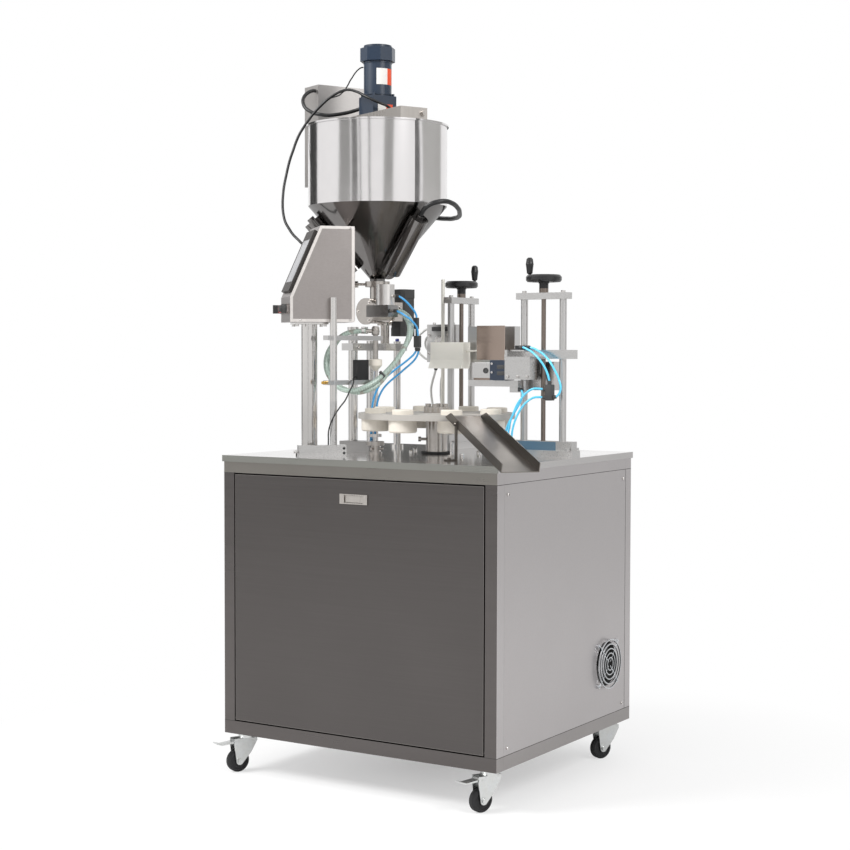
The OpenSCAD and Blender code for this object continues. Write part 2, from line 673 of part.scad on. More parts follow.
// Fan behind the right panel, seen through its guard
module fan_place() {
    translate([0, fan_y, fan_z]) children();
}
module fan_housing() {
    color("black") plan() fan_place() difference() {
        block([fan_back_x, -fan_w / 2, -fan_w / 2], [fan_back_x + fan_d - seam, fan_w / 2, fan_w / 2]);
        difference() {
            lying_x(fan_hole_d, fan_d + 2 * past, fan_back_x - past);
            lying_x(rotor_hub_d, 8 + past, fan_back_x - past);
            for (a = [45, 135]) rotate([a, 0, 0])
                block([fan_back_x - past, -fan_w, -5], [fan_back_x + 6, fan_w, 5]);
        }
        lying_x(rotor_shaft_d + 2 * running, 10 + past, fan_back_x - past);
    }
}
module fan_guard() {
    ring_x = frame_w / 2 + 10;
    bar_x = ring_x - guard_wire - seam;
    color("gainsboro") plan() fan_place() {
        for (r = guard_rings) difference() {
            lying_x(2 * r + guard_wire, guard_wire, ring_x);
            lying_x(2 * r - guard_wire, guard_wire + 2 * past, ring_x - past);
        }
        for (a = [45, 135, 225, 315]) rotate([a, 0, 0]) {
            block([bar_x, 8, -1.5], [bar_x + guard_wire, guard_rings[4] + 14, 1.5]);
            lying_x(11, bar_x - frame_w / 2 - 2 * seam, frame_w / 2 + seam, guard_rings[4] + 12);
        }
    }
}
module fan_rotor() {
    hub_x = fan_back_x + 8 + room;
    color("black") plan() fan_place() {
        lying_x(rotor_hub_d - 4, fan_d - 14, hub_x);
        lying_x(rotor_shaft_d, 10, hub_x - 8);
        for (k = [0:6]) rotate([360 * k / 7, 0, 0]) translate([hub_x + 12, 0, rotor_hub_d / 2 - 4])
            rotate([0, 0, 35]) block([-1, -15, 0], [1, 15, rotor_d / 2 - rotor_hub_d / 2]);
    }
}

// Casters: the wheel trails along the local +X direction
module caster_place(i) {
    plan() corner_place(i) rotate([0, 0, corner_heading[i]]) children();
}
module fork_cheek() {
    cheek_top = fork_top - fork_race_t;
    rotate([90, 0, 0]) linear_extrude(fork_sheet) difference() {
        union() {
            polygon([[-24, cheek_top], [pedal_x + 8, cheek_top], [pedal_x + 9, pedal_z - 8],
                [caster_trail + 13, axle_z + 14], [caster_trail + 10, axle_z - 5],
                [caster_trail - 10, axle_z - 5], [-6, axle_z + 24], [-24, cheek_top - 9]]);
            translate([caster_trail, axle_z]) circle(d = 22);
        }
        translate([pedal_x, pedal_z]) circle(d = pedal_pin_d + 2 * running);
    }
}
module caster_fork(i) {
    inner = wheel_w / 2 + fork_gap;
    color("lightsteelblue") caster_place(i) {
        difference() {
            union() {
                upright(50, fork_race_t, 0, 0, fork_top - fork_race_t);
                block([-24, -inner - fork_sheet, fork_top - fork_race_t - fork_cap_t],
                    [24, inner + fork_sheet, fork_top - fork_race_t]);
            }
            upright(king_pin_d + 2 * running, fork_race_t + fork_cap_t + 2 * past, 0, 0,
                fork_top - fork_race_t - fork_cap_t - past);
        }
        translate([0, -inner, 0]) fork_cheek();
        translate([0, inner + fork_sheet, 0]) fork_cheek();
        lying_y(axle_d, 2 * inner + 2 * fork_sheet, caster_trail, -inner - fork_sheet, axle_z);
        for (side = [-1, 1])
            lying_y(14, 5, caster_trail, side < 0 ? -inner - fork_sheet - 5 : inner + fork_sheet, axle_z);
    }
}
module caster_wheel(i) {
    bore_r = axle_d / 2 + running;
    color("black") caster_place(i) translate([caster_trail, 0, axle_z]) rotate([90, 0, 0])
        rotate_extrude($fn = 64)
            polygon([[bore_r, -wheel_w / 2], [11, -wheel_w / 2], [12, -wheel_w / 2 + 3],
            [wheel_d / 2 - 10, -wheel_w / 2 + 3], [wheel_d / 2 - 9, -wheel_w / 2 + 1],
            [wheel_d / 2 - 4, -wheel_w / 2 + 2], [wheel_d / 2 - 1, -wheel_w / 2 + 6],
            [wheel_d / 2, -wheel_w / 4],
            [wheel_d / 2, wheel_w / 4], [wheel_d / 2 - 1, wheel_w / 2 - 6],
            [wheel_d / 2 - 4, wheel_w / 2 - 2],
            [wheel_d / 2 - 9, wheel_w / 2 - 1], [wheel_d / 2 - 10, wheel_w / 2 - 3], [12, wheel_w / 2 - 3],
            [11, wheel_w / 2], [bore_r, wheel_w / 2]]);
}
module brake_pedal(i) {
    inner = wheel_w / 2 + fork_gap;
    pedal_w = 2 * inner - 2;
    color("gainsboro") caster_place(i) translate([pedal_x, 0, pedal_z]) {
        lying_y(pedal_pin_d, 2 * inner + 2 * fork_sheet - 1, 0, -inner - fork_sheet + 0.5, 0);
        translate([0, pedal_w / 2, 0]) rotate([90, 0, 0]) linear_extrude(pedal_w)
            polygon([[-7, -2], [4, -4], [pedal_reach - 16, -6], [pedal_reach, -1], [pedal_reach, 2],
                [pedal_reach - 17, -3], [8, 1], [4, 5], [-7, 3]]);
    }
}

// Turntable and its drive
module index_drive() {
    color("slategray") on_table() {
        difference() {
            block([turn_x - 90, turn_y - 70, -plate_t - drive_h], [turn_x + 90, turn_y + 70, -plate_t]);
            upright(shaft_d + 2 * running, drive_h + past, turn_x, turn_y, -shaft_depth - 2);
        }
        lying_y(96, 190, turn_x + 40, turn_y + 70 + seam, -plate_t - 60);
        lying_y(104, 16, turn_x + 40, turn_y + 260 + 2 * seam, -plate_t - 60);
    }
}
module turntable_column() {
    color("silver") on_table() translate([turn_x, turn_y, 0]) {
        difference() {
            union() {
                upright(column_d, disc_z - room);
                upright(column_ring_d, column_ring_t);
            }
            upright(shaft_d + 2 * running, disc_z + 2 * past, 0, 0, -past);
        }
        rotate([0, 0, 212]) {
            lying_x(8, 18, column_d / 2 - 2, 0, 42);
            lying_x(14, 8, column_d / 2 + 14, 0, 42);
        }
    }
}
module turntable_disc() {
    color("whitesmoke") on_table() translate([turn_x, turn_y, 0]) {
        difference() {
            upright(disc_d, disc_t, 0, 0, disc_z, $fn = 96);
            upright(shaft_d + 2 * seat, disc_t + 2 * past, 0, 0, disc_z - past);
            for (k = [0:cup_count - 1]) rotate([0, 0, 360 * k / cup_count])
                upright(cup_collar_d + 2 * seat, disc_t + 2 * past, cup_circle_r, 0, disc_z - past);
        }
        difference() {
            union() {
                upright(hub_d, hub_t, 0, 0, disc_top + seat);
                upright(shaft_d, shaft_depth + disc_top + hub_t, 0, 0, -shaft_depth);
                for (k = [0:hub_bolts - 1]) rotate([0, 0, 360 * k / hub_bolts + 20])
                    upright(17, 9, hub_bolt_circle / 2, 0, disc_top + hub_t);
            }
            for (k = [0:hub_bolts - 1]) rotate([0, 0, 360 * k / hub_bolts + 20])
                upright(9, 6 + past, hub_bolt_circle / 2, 0, disc_top + hub_t + 3, $fn = 6);
        }
    }
}
module tube_cups() {
    bore_r = cup_bore_d / 2;
    body_r = cup_body_d / 2;
    collar_r = cup_collar_d / 2;
    color("ivory") on_table() translate([turn_x, turn_y, 0])
        for (k = [0:cup_count - 1]) rotate([0, 0, 360 * k / cup_count]) translate([cup_circle_r, 0, 0])
            rotate_extrude($fn = 64) polygon([[bore_r, cup_foot], [body_r - 4, cup_foot],
                [body_r, cup_foot + 4], [body_r, disc_z - seat], [collar_r, disc_z - seat],
                [collar_r, cup_top - 2], [collar_r - 2, cup_top], [bore_r, cup_top]]);
}
module rod_cylinder(at, rod, low) {
    translate([at.x, at.y, 0]) difference() {
        upright(cylinder_d, cylinder_len, 0, 0, -plate_t - cylinder_len);
        upright(rod + 2 * running, cylinder_len, 0, 0, low - 10);
    }
}
module lift_guides() {
    color("silver") on_table() {
        translate([fill_at.x, fill_at.y, 0]) difference() {
            union() {
                upright(38, 7);
                upright(25, 27);
                upright(lifter_d + 39, 11, 0, 0, 26);
                for (a = [30, 150, 270]) rotate([0, 0, a]) lying_x(7, 15, 8, 0, 16);
            }
            upright(lifter_d + 2 * running, 40, 0, 0, -past);
        }
        translate([eject_at.x, eject_at.y, 0]) difference() {
            upright(ejector_d + 13, 6);
            upright(ejector_d + 2 * running, 8, 0, 0, -past);
        }
        rod_cylinder(fill_at, lifter_d, lifter_low);
        rod_cylinder(eject_at, ejector_d, ejector_low);
    }
}
module lifter_rod() {
    color("gainsboro") on_table() translate([fill_at.x, fill_at.y, 0]) {
        upright(lifter_d, lifter_top - lifter_low - 2, 0, 0, lifter_low);
        upright(lifter_cap_d, lifter_cap_t, 0, 0, lifter_top - lifter_cap_t);
    }
}
module ejector_pin() {
    color("gainsboro") on_table() upright(ejector_d, ejector_top - ejector_low, eject_at.x,
        eject_at.y, ejector_low);
}
module chute_stand(along, side) {
    foot = chute_start + [chute_along.x, chute_along.y, 0] * along * cos(chute_slope)
        + [chute_across.x, chute_across.y, 0] * (side < 0 ? -seam : chute_w + seam);
    rise = chute_start.z - along * sin(chute_slope) + chute_wall / 2;
    translate([foot.x, foot.y, 0]) rotate([0, 0, chute_turn]) {
        side_y = side < 0 ? -4 : 0;
        block([-7, side_y, 0], [7, side_y + 4, rise + 8]);
        block([-7, side < 0 ? -34 : 0, 0], [7, side < 0 ? 0 : 34, 4]);
        lying_y(10, 5, 0, side < 0 ? -9 : 4, rise);
        upright(10, 5, 0, side * 22, 4);
    }
}
module chute() {
    color("gray") on_table() {
        translate(chute_start) rotate([0, 0, chute_turn]) rotate([0, chute_slope, 0]) {
            block([0, 0, 0], [chute_len, chute_w, chute_t]);
            for (y = [0, chute_w - chute_t]) translate([0, y + chute_t, 0]) rotate([90, 0, 0])
                linear_extrude(chute_t) polygon([[0, 0], [chute_len, 0], [chute_len, chute_wall],
                    [chute_wall * 1.6, chute_wall], [0, chute_t]]);
        }
        chute_stand(100, -1);
        chute_stand(112, 1);
    }
}

// Operator panel: local +X runs from the screen to the back
module hmi_place() {
    on_table() translate([hmi_at.x, hmi_at.y, 0]) rotate([0, 0, hmi_turn]) children();
}
module hmi_outline(inset) {
    polygon([[inset, inset], [hmi_foot - inset, inset], [hmi_foot - inset, hmi_h - inset],
        [hmi_foot - hmi_top + inset * 0.7, hmi_h - inset], [inset, hmi_lip - inset * 0.3]]);
}
module hmi_post() {
    color("silver") hmi_place() {
        upright(hmi_post_d, hmi_z - 6);
        upright(hmi_post_d + 34, 8);
        block([-48, -38, hmi_z - 6], [48, 38, hmi_z - seam]);
        for (x = [-40, 40]) for (y = [-30, 30]) upright(10, 6, x, y, hmi_z - 12);
    }
}
module hmi_box() {
    color("silver") hmi_place() {
        translate([-hmi_front, hmi_w / 2, hmi_z]) rotate([90, 0, 0]) difference() {
            linear_extrude(hmi_w) hmi_outline(0);
            translate([0, 0, hmi_sheet]) linear_extrude(hmi_w - 2 * hmi_sheet) hmi_outline(hmi_sheet);
            translate([hmi_foot - hmi_sheet - past, 12, 12])
                cube([hmi_sheet + 2 * past, hmi_h - 24, hmi_w - 24]);
            for (k = [-1:1]) translate([-past, control_z - hmi_z, hmi_w / 2 + k * control_pitch])
                rotate([0, 90, 0]) cylinder(d = stem_d + 2 * room, h = hmi_sheet + 2 * past);
        }
        block([-hmi_front + hmi_foot + seam, -hmi_w / 2 + 4, hmi_z + 4],
            [-hmi_front + hmi_foot + hmi_sheet + seam, hmi_w / 2 - 4, hmi_z + hmi_h - 4]);
        for (k = [-1:1]) difference() {
            lying_x(ring_d, ring_t, -hmi_front - ring_t - seam, k * control_pitch, control_z);
            lying_x(stem_d + 2 * running, ring_t + 2 * past, -hmi_front - ring_t - past,
                k * control_pitch, control_z);
        }
    }
}
module hmi_screen() {
    color("dimgray") hmi_place() translate([-hmi_front, 0, hmi_z + hmi_lip]) rotate([0, -hmi_slope, 0])
        difference() {
            block([(hmi_slope_len - bezel_len) / 2, -bezel_w / 2, seam],
                [(hmi_slope_len + bezel_len) / 2, bezel_w / 2, bezel_t]);
            block([(hmi_slope_len - bezel_len) / 2 + 28, -bezel_w / 2 + 11, bezel_t - 1],
                [(hmi_slope_len + bezel_len) / 2 - 28, bezel_w / 2 - 11, bezel_t + past]);
        }
}
module control_stem(k) {
    lying_x(stem_d, 20, -hmi_front - ring_t - 2, k * control_pitch, control_z);
}
module mode_selector() {
    face_x = -hmi_front - ring_t - seam - room;
    color("black") hmi_place() {
        control_stem(1);
        lying_x(24, 10, face_x - 10, control_pitch, control_z);
        block([face_x - 22, control_pitch - 4, control_z - 12],
            [face_x - 9, control_pitch + 4, control_z + 12]);
    }
}
module start_button() {
    face_x = -hmi_front - ring_t - seam;
    color("firebrick") hmi_place() {
        control_stem(0);
        lying_x(stem_d, 10, face_x - 9, 0, control_z);
        lying_x(22, 8, face_x - 13, 0, control_z);
    }
}
module speed_knob() {
    face_x = -hmi_front - ring_t - seam - room;
    color("black") hmi_place() {
        control_stem(-1);
        lying_x(26, 12, face_x - 12, -control_pitch, control_z);
        lying_x(19, 9, face_x - 20, -control_pitch, control_z);
    }
}

// Hopper, stirrer and what they carry
module hopper_place() {
    on_table() translate([hopper_at.x, hopper_at.y, 0]) rotate([0, 0, hopper_turn]) children();
}
module pocket(grow, from, len) {
    rotate([0, cone_lean, 0]) translate([pocket_d / 2 - pocket_sink, 0, from])
        cylinder(d = pocket_d + grow, h = len);
}
module pockets(grow, from, len) {
    for (a = pocket_turns) rotate([0, 0, a - hopper_turn]) translate([outlet_r, 0, cone_z])
        pocket(grow, from, len);
}
module hopper() {
    top_r = hopper_r - hopper_t;
    color("silver") hopper_place() difference() {
        union() {
            rotate_extrude($fn = 96)
                polygon([[0, hopper_outlet_z], [outlet_r, hopper_outlet_z], [outlet_r, cone_z],
                [hopper_r, hopper_wall_z], [hopper_r, hopper_rim - rim_bead],
                [hopper_r + rim_bead, hopper_rim - rim_bead],
                [hopper_r + rim_bead, hopper_rim], [0, hopper_rim]]);
            upright(2 * ferrule_r, ferrule_t, 0, 0, hopper_outlet_z);
            pockets(0, pocket_start, pocket_len);
            pockets(gland_d - pocket_d, pocket_start + pocket_len - 1, gland_h + 1);
        }
        rotate_extrude($fn = 96)
            polygon([[0, hopper_outlet_z - past], [outlet_r - hopper_t, hopper_outlet_z - past],
            [outlet_r - hopper_t, cone_z], [top_r, hopper_wall_z], [top_r, hopper_rim + past],
            [0, hopper_rim + past]]);
    }
}
module hopper_bridge() {
    base_z = hopper_rim + seam;
    color("silver") hopper_place() {
        difference() {
            block([-bridge_len / 2, -bridge_w / 2, base_z],
                [bridge_len / 2, bridge_w / 2, base_z + bridge_h]);
            block([-bridge_len / 2 + bridge_t, -bridge_w / 2 + bridge_t, base_z + rim_bead],
                [bridge_len / 2 - bridge_t, bridge_w / 2 - bridge_t, base_z + bridge_h + past]);
            upright(stir_shaft_d + 6, bridge_h, 0, 0, base_z - past);
        }
        for (y = [-30, 30]) upright(8, 10, bridge_len / 2 - 14, y, base_z + rim_bead + seam);
        lying_x(14, 10, bridge_len / 2 + seam, 30, base_z + bridge_h / 2);
    }
}
module stirrer_motor() {
    base_z = hopper_rim + 2 * seam + rim_bead;
    body_z = base_z + gearbox_h + 2;
    color("midnightblue") hopper_place() {
        difference() {
            block([-gearbox_w / 2, -gearbox_w / 2, base_z],
                [gearbox_w / 2, gearbox_w / 2, base_z + gearbox_h]);
            upright(stir_shaft_d + 2 * running, 40 + past, 0, 0, base_z - past);
        }
        upright(gearbox_w, 2 + 2 * seam, 0, 0, base_z + gearbox_h);
        upright(motor_d, motor_h, 0, 0, body_z);
        rotate([0, 0, 22.5]) translate([0, 0, body_z + motor_h])
            cylinder(d = motor_cap / cos(22.5), h = motor_cap_h - 8, $fn = 8);
        upright(motor_cap - 14, 8, 0, 0, body_z + motor_h + motor_cap_h - 8);
        block([-motor_d / 2 - 6, -14, body_z + 6], [-motor_d / 2 + 6, 14, body_z + 40]);
        for (x = [-1, 1]) for (y = [-1, 1]) upright(8, 7, x * 33, y * 33, base_z + gearbox_h);
    }
}
module stirrer() {
    shaft_top = hopper_rim + 2 * seam + rim_bead + 38;
    color("gainsboro") hopper_place() {
        upright(stir_shaft_d, shaft_top - stir_low, 0, 0, stir_low);
        for (level = [[hopper_wall_z + 40, hopper_r - 40, 0], [hopper_wall_z - 80, hopper_r - 110, 90]])
            rotate([0, 0, level[2]]) {
                lying_x(10, 2 * level[1], -level[1], 0, level[0]);
                for (side = [-1, 1]) translate([side * (level[1] - 30), 0, level[0]])
                    rotate([side * 35, 0, 0]) block([-30, -2, -16], [30, 2, 16]);
            }
    }
}
module control_box() {
    color("lightgray") hopper_place() {
        difference() {
            block([-box_near - box_deep, -box_w / 2, box_z], [-box_near, box_w / 2, box_z + box_h]);
            block([-box_near - box_deep - past, -box_w / 2 + box_t, box_z + box_t],
                [-box_near - box_t, box_w / 2 - box_t, box_z + box_h - box_t]);
        }
        for (z = [box_z + 20, box_z + 110])
            block([-box_near - seam, -25, z], [-hopper_r - 2, 25, z + 24]);
        block([-box_near - box_deep - 1.5, -box_w / 2 + box_t + room, box_z + box_t + room],
            [-box_near - box_deep + 0.5, box_w / 2 - box_t - room, box_z + box_h - box_t - room]);
    }
}

// Dosing pump and filling unit
module pump_place() {
    on_table() translate([hopper_at.x, hopper_at.y, 0]) children();
}
module dosing_pump() {
    clamp_z = hopper_outlet_z - seam - ferrule_t;
    valve_at = [62, -52];
    color("silver") pump_place() {
        difference() {
            union() {
                upright(outlet_d, clamp_z - pump_z + 4, 0, 0, pump_z);
                upright(2 * ferrule_r, ferrule_t, 0, 0, clamp_z);
                rotate([0, 0, pump_turn]) {
                    lying_y(pump_d, pump_front + pump_back, 0, -pump_front, pump_z);
                    lying_y(cover_d, 6, 0, pump_back - 6, pump_z);
                    block([-28, pump_back - 1, pump_z - 28],
                        [28, servo_back - servo_w * 0.48 - seam, pump_z + 28]);
                }
                block([10, -74, pump_z - 17], [86, -22, pump_z + 17]);
                upright(stub_d + 20, 12, 0, stub_back, pump_z - pump_d / 2 - 4);
                upright(stub_d, pump_z - pump_d / 2 - crosshead_z - crosshead_h, 0, stub_back,
                    crosshead_z + crosshead_h + seam);
                for (y = [-10, 8]) {
                    lying_x(16, 22, 26, y, pump_z + 1);
                    lying_x(10, 40, 26, y, pump_z + 1);
                }
            }
            upright(outlet_d - 2 * hopper_t, clamp_z, 0, 0, pump_z + 10);
        }
        rotate([0, 0, pump_turn]) difference() {
            lying_y(cover_d, cover_t, 0, -pump_front - cover_t - seam, pump_z);
            for (a = [60, 180, 300]) rotate([0, a, 0])
                lying_y(7, 5, 30, -pump_front - cover_t - past, 0);
        }
        difference() {
            upright(2 * ferrule_r + 10, 2 * ferrule_t + 4, 0, 0, clamp_z - 2);
            upright(2 * ferrule_r + 2 * seat, 2 * ferrule_t + 4 + 2 * past, 0, 0, clamp_z - 2 - past);
        }
        rotate([0, 0, 205]) {
            lying_x(8, 34, ferrule_r + 5 + seam, 0, clamp_z + ferrule_t);
            lying_x(20, 14, ferrule_r + 26, 0, clamp_z + ferrule_t);
        }
        upright(54, 60, valve_at.x, valve_at.y, pump_z + 17 + seam);
        lying_x(8, 12, valve_at.x + 26, valve_at.y, 455);
        lying_x(8, 7, 86 + seam, valve_at.y, pump_z);
    }
}
module servo_motor() {
    half = servo_w / 2;
    cut = 10;
    outline = [[-half + cut, -half], [half - cut, -half], [half, -half + cut], [half, half - cut],
        [half - cut, half], [-half + cut, half], [-half, half - cut], [-half, -half + cut]];
    color("darkslategray") pump_place() rotate([0, 0, pump_turn]) translate([0, servo_back, 0]) {
        translate([0, 0, servo_z]) linear_extrude(26) polygon(outline);
        translate([0, 0, servo_z + 26 + seam])
            linear_extrude(servo_h - 52 - 2 * seam) polygon(outline * 0.96);
        translate([0, 0, servo_z + servo_h - 26]) linear_extrude(26) polygon(outline);
    }
}
module fill_stand() {
    bar_low = fill_posts[0][0] - 30;
    bar_high = fill_posts[2][0] + 24;
    color("silver") on_table() {
        for (p = fill_posts) {
            upright(p[1], p[2], fill_x, p[0], 0);
            upright(p[1] + 16, 10, fill_x, p[0], 0);
        }
        upright(fill_posts[0][1] + 6, 21, fill_x, fill_posts[0][0], fill_posts[0][2] - 21);
        block([fill_x - 28, fill_posts[0][0] - 30, 0], [fill_x + 77, fill_posts[0][0] + 24, 31]);
        difference() {
            union() {
                block([fill_x - crosshead_w / 2, bar_low, crosshead_z],
                    [fill_x + crosshead_w / 2, bar_high, crosshead_z + crosshead_h]);
                block([fill_x - crosshead_w / 2, hopper_at.y + stub_back - 25, crosshead_z],
                    [hopper_at.x + 22, hopper_at.y + stub_back + 25, crosshead_z + crosshead_h]);
            }
            for (p = fill_posts)
                upright(p[1] + 2 * seat, crosshead_h + 2 * past, fill_x, p[0], crosshead_z - past);
        }
    }
}
module fill_nozzle() {
    color("gainsboro") on_table() translate([fill_at.x, fill_at.y, 0]) {
        rotate_extrude() polygon([[0, 238], [5, 238], [19, 254], [19, 271], [nozzle_stem_d / 2, 273],
            [nozzle_stem_d / 2, 340], [11, 342], [12, 352], [11, 362], [8, 366], [0, 366]]);
        for (a = barb_turns) rotate([0, 0, a]) {
            lying_x(10, barb_reach - 4, 4, 0, barb_z);
            lying_x(12, 4, 19, 0, barb_z);
        }
    }
}
module stand_arm(z, len, tip_hole) {
    translate([rod_at.x, rod_at.y, z]) rotate([0, 0, arm_turn]) difference() {
        block([-28, -arm_w / 2, 0], [len, arm_w / 2, arm_h]);
        upright(guide_d + 2 * seat, arm_h + 2 * past, 0, 0, -past);
        if (tip_hole > 0) upright(tip_hole, arm_h + 2 * past, len - 18, 0, -past);
    }
}
module sensor_stand() {
    reach = norm([fill_at.x - rod_at.x, fill_at.y - rod_at.y]);
    color("silver") on_table() {
        translate([rod_at.x, rod_at.y, 0]) rotate([0, 0, hmi_turn]) {
            difference() {
                block([-100, -16, 0], [34, 17, 32]);
                upright(guide_d + 2 * seat, 34, 0, 0, -past);
                for (z = [10, 23]) lying_y(8, 20, 27, -16 - past, z);
            }
            lying_x(8, 12, -112 - seam, 0, 14);
        }
        upright(guide_d, rod_top, rod_at.x, rod_at.y, 0);
        stand_arm(upper_arm_z, reach + 18, nozzle_stem_d + 2 * seat);
        stand_arm(lower_arm_z, 127, 0);
        translate([rod_at.x, rod_at.y, lower_arm_z]) rotate([0, 0, arm_turn]) {
            lying_x(9, 12, -40 - seam, 0, arm_h / 2);
            translate([100, 0, arm_h + seam]) block([-21, -10, 0], [21, 10, 57]);
        }
    }
}

// Lift stands: local +X runs along the two guide posts
module seal_place() {
    on_table() translate([seal_at.x, seal_at.y, 0]) rotate([0, 0, 90]) children();
}
module trim_place() {
    on_table() translate([trim_at.x, trim_at.y, 0]) children();
}
module lift_stand() {
    half = guide_pitch / 2;
    difference() {
        union() {
            block([-half - 42, -base_bar_w / 2 - 8, 0], [half + 42, base_bar_w / 2 + 8, base_plate_h]);
            block([-half - 36, -base_bar_w / 2, base_plate_h],
                [half + 36, base_bar_w / 2, base_plate_h + base_bar_h]);
        }
        for (x = [-half, half]) upright(guide_d + 2 * seat, 60, x, 0, 8);
        upright(screw_d + 2 * running, 60, 0, 0, 12);
    }
    for (x = [-half, half]) upright(guide_d, guide_h - 8 - seam, x, 0, 8 + seam);
    difference() {
        block([-half - 20, -bar_w / 2, guide_h - top_plate_h], [half + 20, bar_w / 2, guide_h]);
        for (x = [-half, half]) upright(guide_d + 2 * seat, 40, x, 0, guide_h - top_plate_h - past);
        upright(screw_d + 2 * running, 40, 0, 0, guide_h - top_plate_h - past);
    }
    for (x = [-half - 30, half + 30]) for (y = [-1, 1])
        upright(12, 7, x, y * (base_bar_w / 2 + 4 - seam) * 1.35, base_plate_h + seam);
}
module lift_screw(handle_turn) {
    rim_r = handwheel_d / 2;
    upright(screw_d, wheel_z + 4 - 14, 0, 0, 14);
    upright(26, wheel_z - guide_h - room, 0, 0, guide_h + room);
    translate([0, 0, wheel_z]) rotate_extrude($fn = 64)
        polygon([[0, 0], [15, 0], [15, 6], [rim_r - 16, 9], [rim_r - 14, 4],
        [rim_r - 4, 4], [rim_r, 9], [rim_r, wheel_rim_h - 6], [rim_r - 5, wheel_rim_h],
        [rim_r - 12, wheel_rim_h],
        [rim_r - 16, 14], [15, 11], [15, 16], [0, 16]]);
    rotate([0, 0, handle_turn]) translate([rim_r - 10, 0, wheel_z + wheel_rim_h - 4]) rotate_extrude()
        polygon([[0, 0], [4, 0], [4, 6], [8, 8], [11, handle_len * 0.7], [9, handle_len],
            [5, handle_len + 4],
            [0, handle_len + 4]]);
}
module carriage_bar(left, right, low) {
    half = guide_pitch / 2;
    difference() {
        block([-half - left, -bar_w / 2, low], [half + right, bar_w / 2, low + carriage_h]);
        for (x = [-half, half]) upright(guide_d + 2 * running, 60, x, 0, low - past);
        upright(screw_d + 2 * running, 60, 0, 0, low - past);
    }
}
module seal_stand() {
    color("silver") seal_place() lift_stand();
}
module sensor_box() {
    color("whitesmoke") on_table() {
        upright(11, 513, -114, 246, 0);
        upright(24, 8, -114, 246, 0);
        translate([-105, 170, 0]) rotate([90, 0, 90])
            linear_extrude(114)
                polygon([[-22, 244], [26, 244], [32, 262], [32, 322], [-10, 322], [-10, 270]]);
        block([-114, 190, 288], [-105 + past, 240, 302]);
        difference() {
            block([-123, 236, 284], [-105, 256, 306]);
            upright(11 + 2 * seat, 30, -114, 246, 280);
        }
        lying_x(6, 44, 9 + seam, 178, 296);
        block([53 + 2 * seam, 171, 289], [67, 185, 303]);
    }
}
module seal_screw() {
    color("black") seal_place() lift_screw(-60);
}
module seal_carriage() {
    low = carriage_z - seal_drop;
    high = low + carriage_h;
    near = seal_at.x - bar_w / 2;
    color("lightgray") seal_place() carriage_bar(26, 26, low);
    color("lightgray") on_table() {
        block([near - 92, 262, low], [near - seam, 326, low + 115]);
        block([near - 84, 276, low - 14], [near - 30, 312, low - seam]);
        for (p = seal_barbs) lying_x(9, 14, near - 95 + seam, p.x, p.y);
        block([seal_at.x + bar_w / 2 + seam, 218, low], [178, 246, high]);
        block([seal_cup.x + 6, seal_cup.y + 19, low], [178, 218 + past, high]);
        block([64, seal_cup.y + 19, low + 8], [156, seal_cup.y + 25, low + 108]);
        block([-10, 220, high + seam], [150, 254, high + 82]);
        block([seal_cup.x - 30, seal_cup.y + 6, low - 62], [seal_cup.x + 30, seal_cup.y + 24, low - 30]);
        block([seal_cup.x + 8, seal_cup.y + 10, low - 31], [seal_cup.x + 30, seal_cup.y + 36, low + past]);
        block([seal_cup.x - 50, seal_cup.y - 48, low - 28], [seal_cup.x - 42, seal_cup.y + 20, low - 14]);
        block([seal_cup.x - 50, seal_cup.y + 12, low - 36], [seal_cup.x - 28, seal_cup.y + 20, low - 14]);
    }
}
module seal_jaw() {
    low = carriage_z - seal_drop;
    color("peru") on_table() difference() {
        block([seal_cup.x - 62, seal_cup.y - 30, low - 62], [seal_cup.x + 30, seal_cup.y - 12, low - 6]);
        block([seal_cup.x - 50 - room, seal_cup.y - 60, low - 28 - room],
            [seal_cup.x - 42 + room, seal_cup.y, low - 14 + room]);
    }
}
module trim_stand() {
    color("silver") trim_place() lift_stand();
}
module trim_screw() {
    color("black") trim_place() lift_screw(200);
}
module trim_carriage() {
    low = carriage_z;
    high = carriage_z + carriage_h;
    face = trim_at.y - bar_w / 2 + past;
    color("silver") trim_place() carriage_bar(50, 38, low);
    color("silver") on_table() {
        block([258, -30, low - 6], [338, face, low + past]);
        block([258, -30, low - 58], [338, 12, low - 6 - seam]);
        block([208, -26, low - 60], [258 - seam, 26, low - 4]);
        block([128, -10, low - 78], [290, 10, low - 60 - seam]);
        block([262, -8, low - 94], [288, 12, low - 78 - seam]);
        block([286, 48, low - 88], [372, 82, low - 8]);
        block([300, 46, low - 40], [330, 48 + past, high - 4]);
        block([300, 44 + seam, low - 6], [330, 47, high - 4]);
        block([282, -14, high + seam], [294 - seam, -4, high + 12]);
        block([300, -4, high + seam], [312 - seam, 6, high + 12]);
        block([268, 6, high + seam], [330, 15, high + 3]);
        block([268, -16, high - 4], [312, face, high]);
        block([258, -30, low], [338, face, low + 6]);
        block([258, -30, low], [266, face, high]);
    }
}
module trim_jaw() {
    color("slategray") on_table()
        block([150, -24, carriage_z - 54], [208 - room, -6, carriage_z - 12]);
}

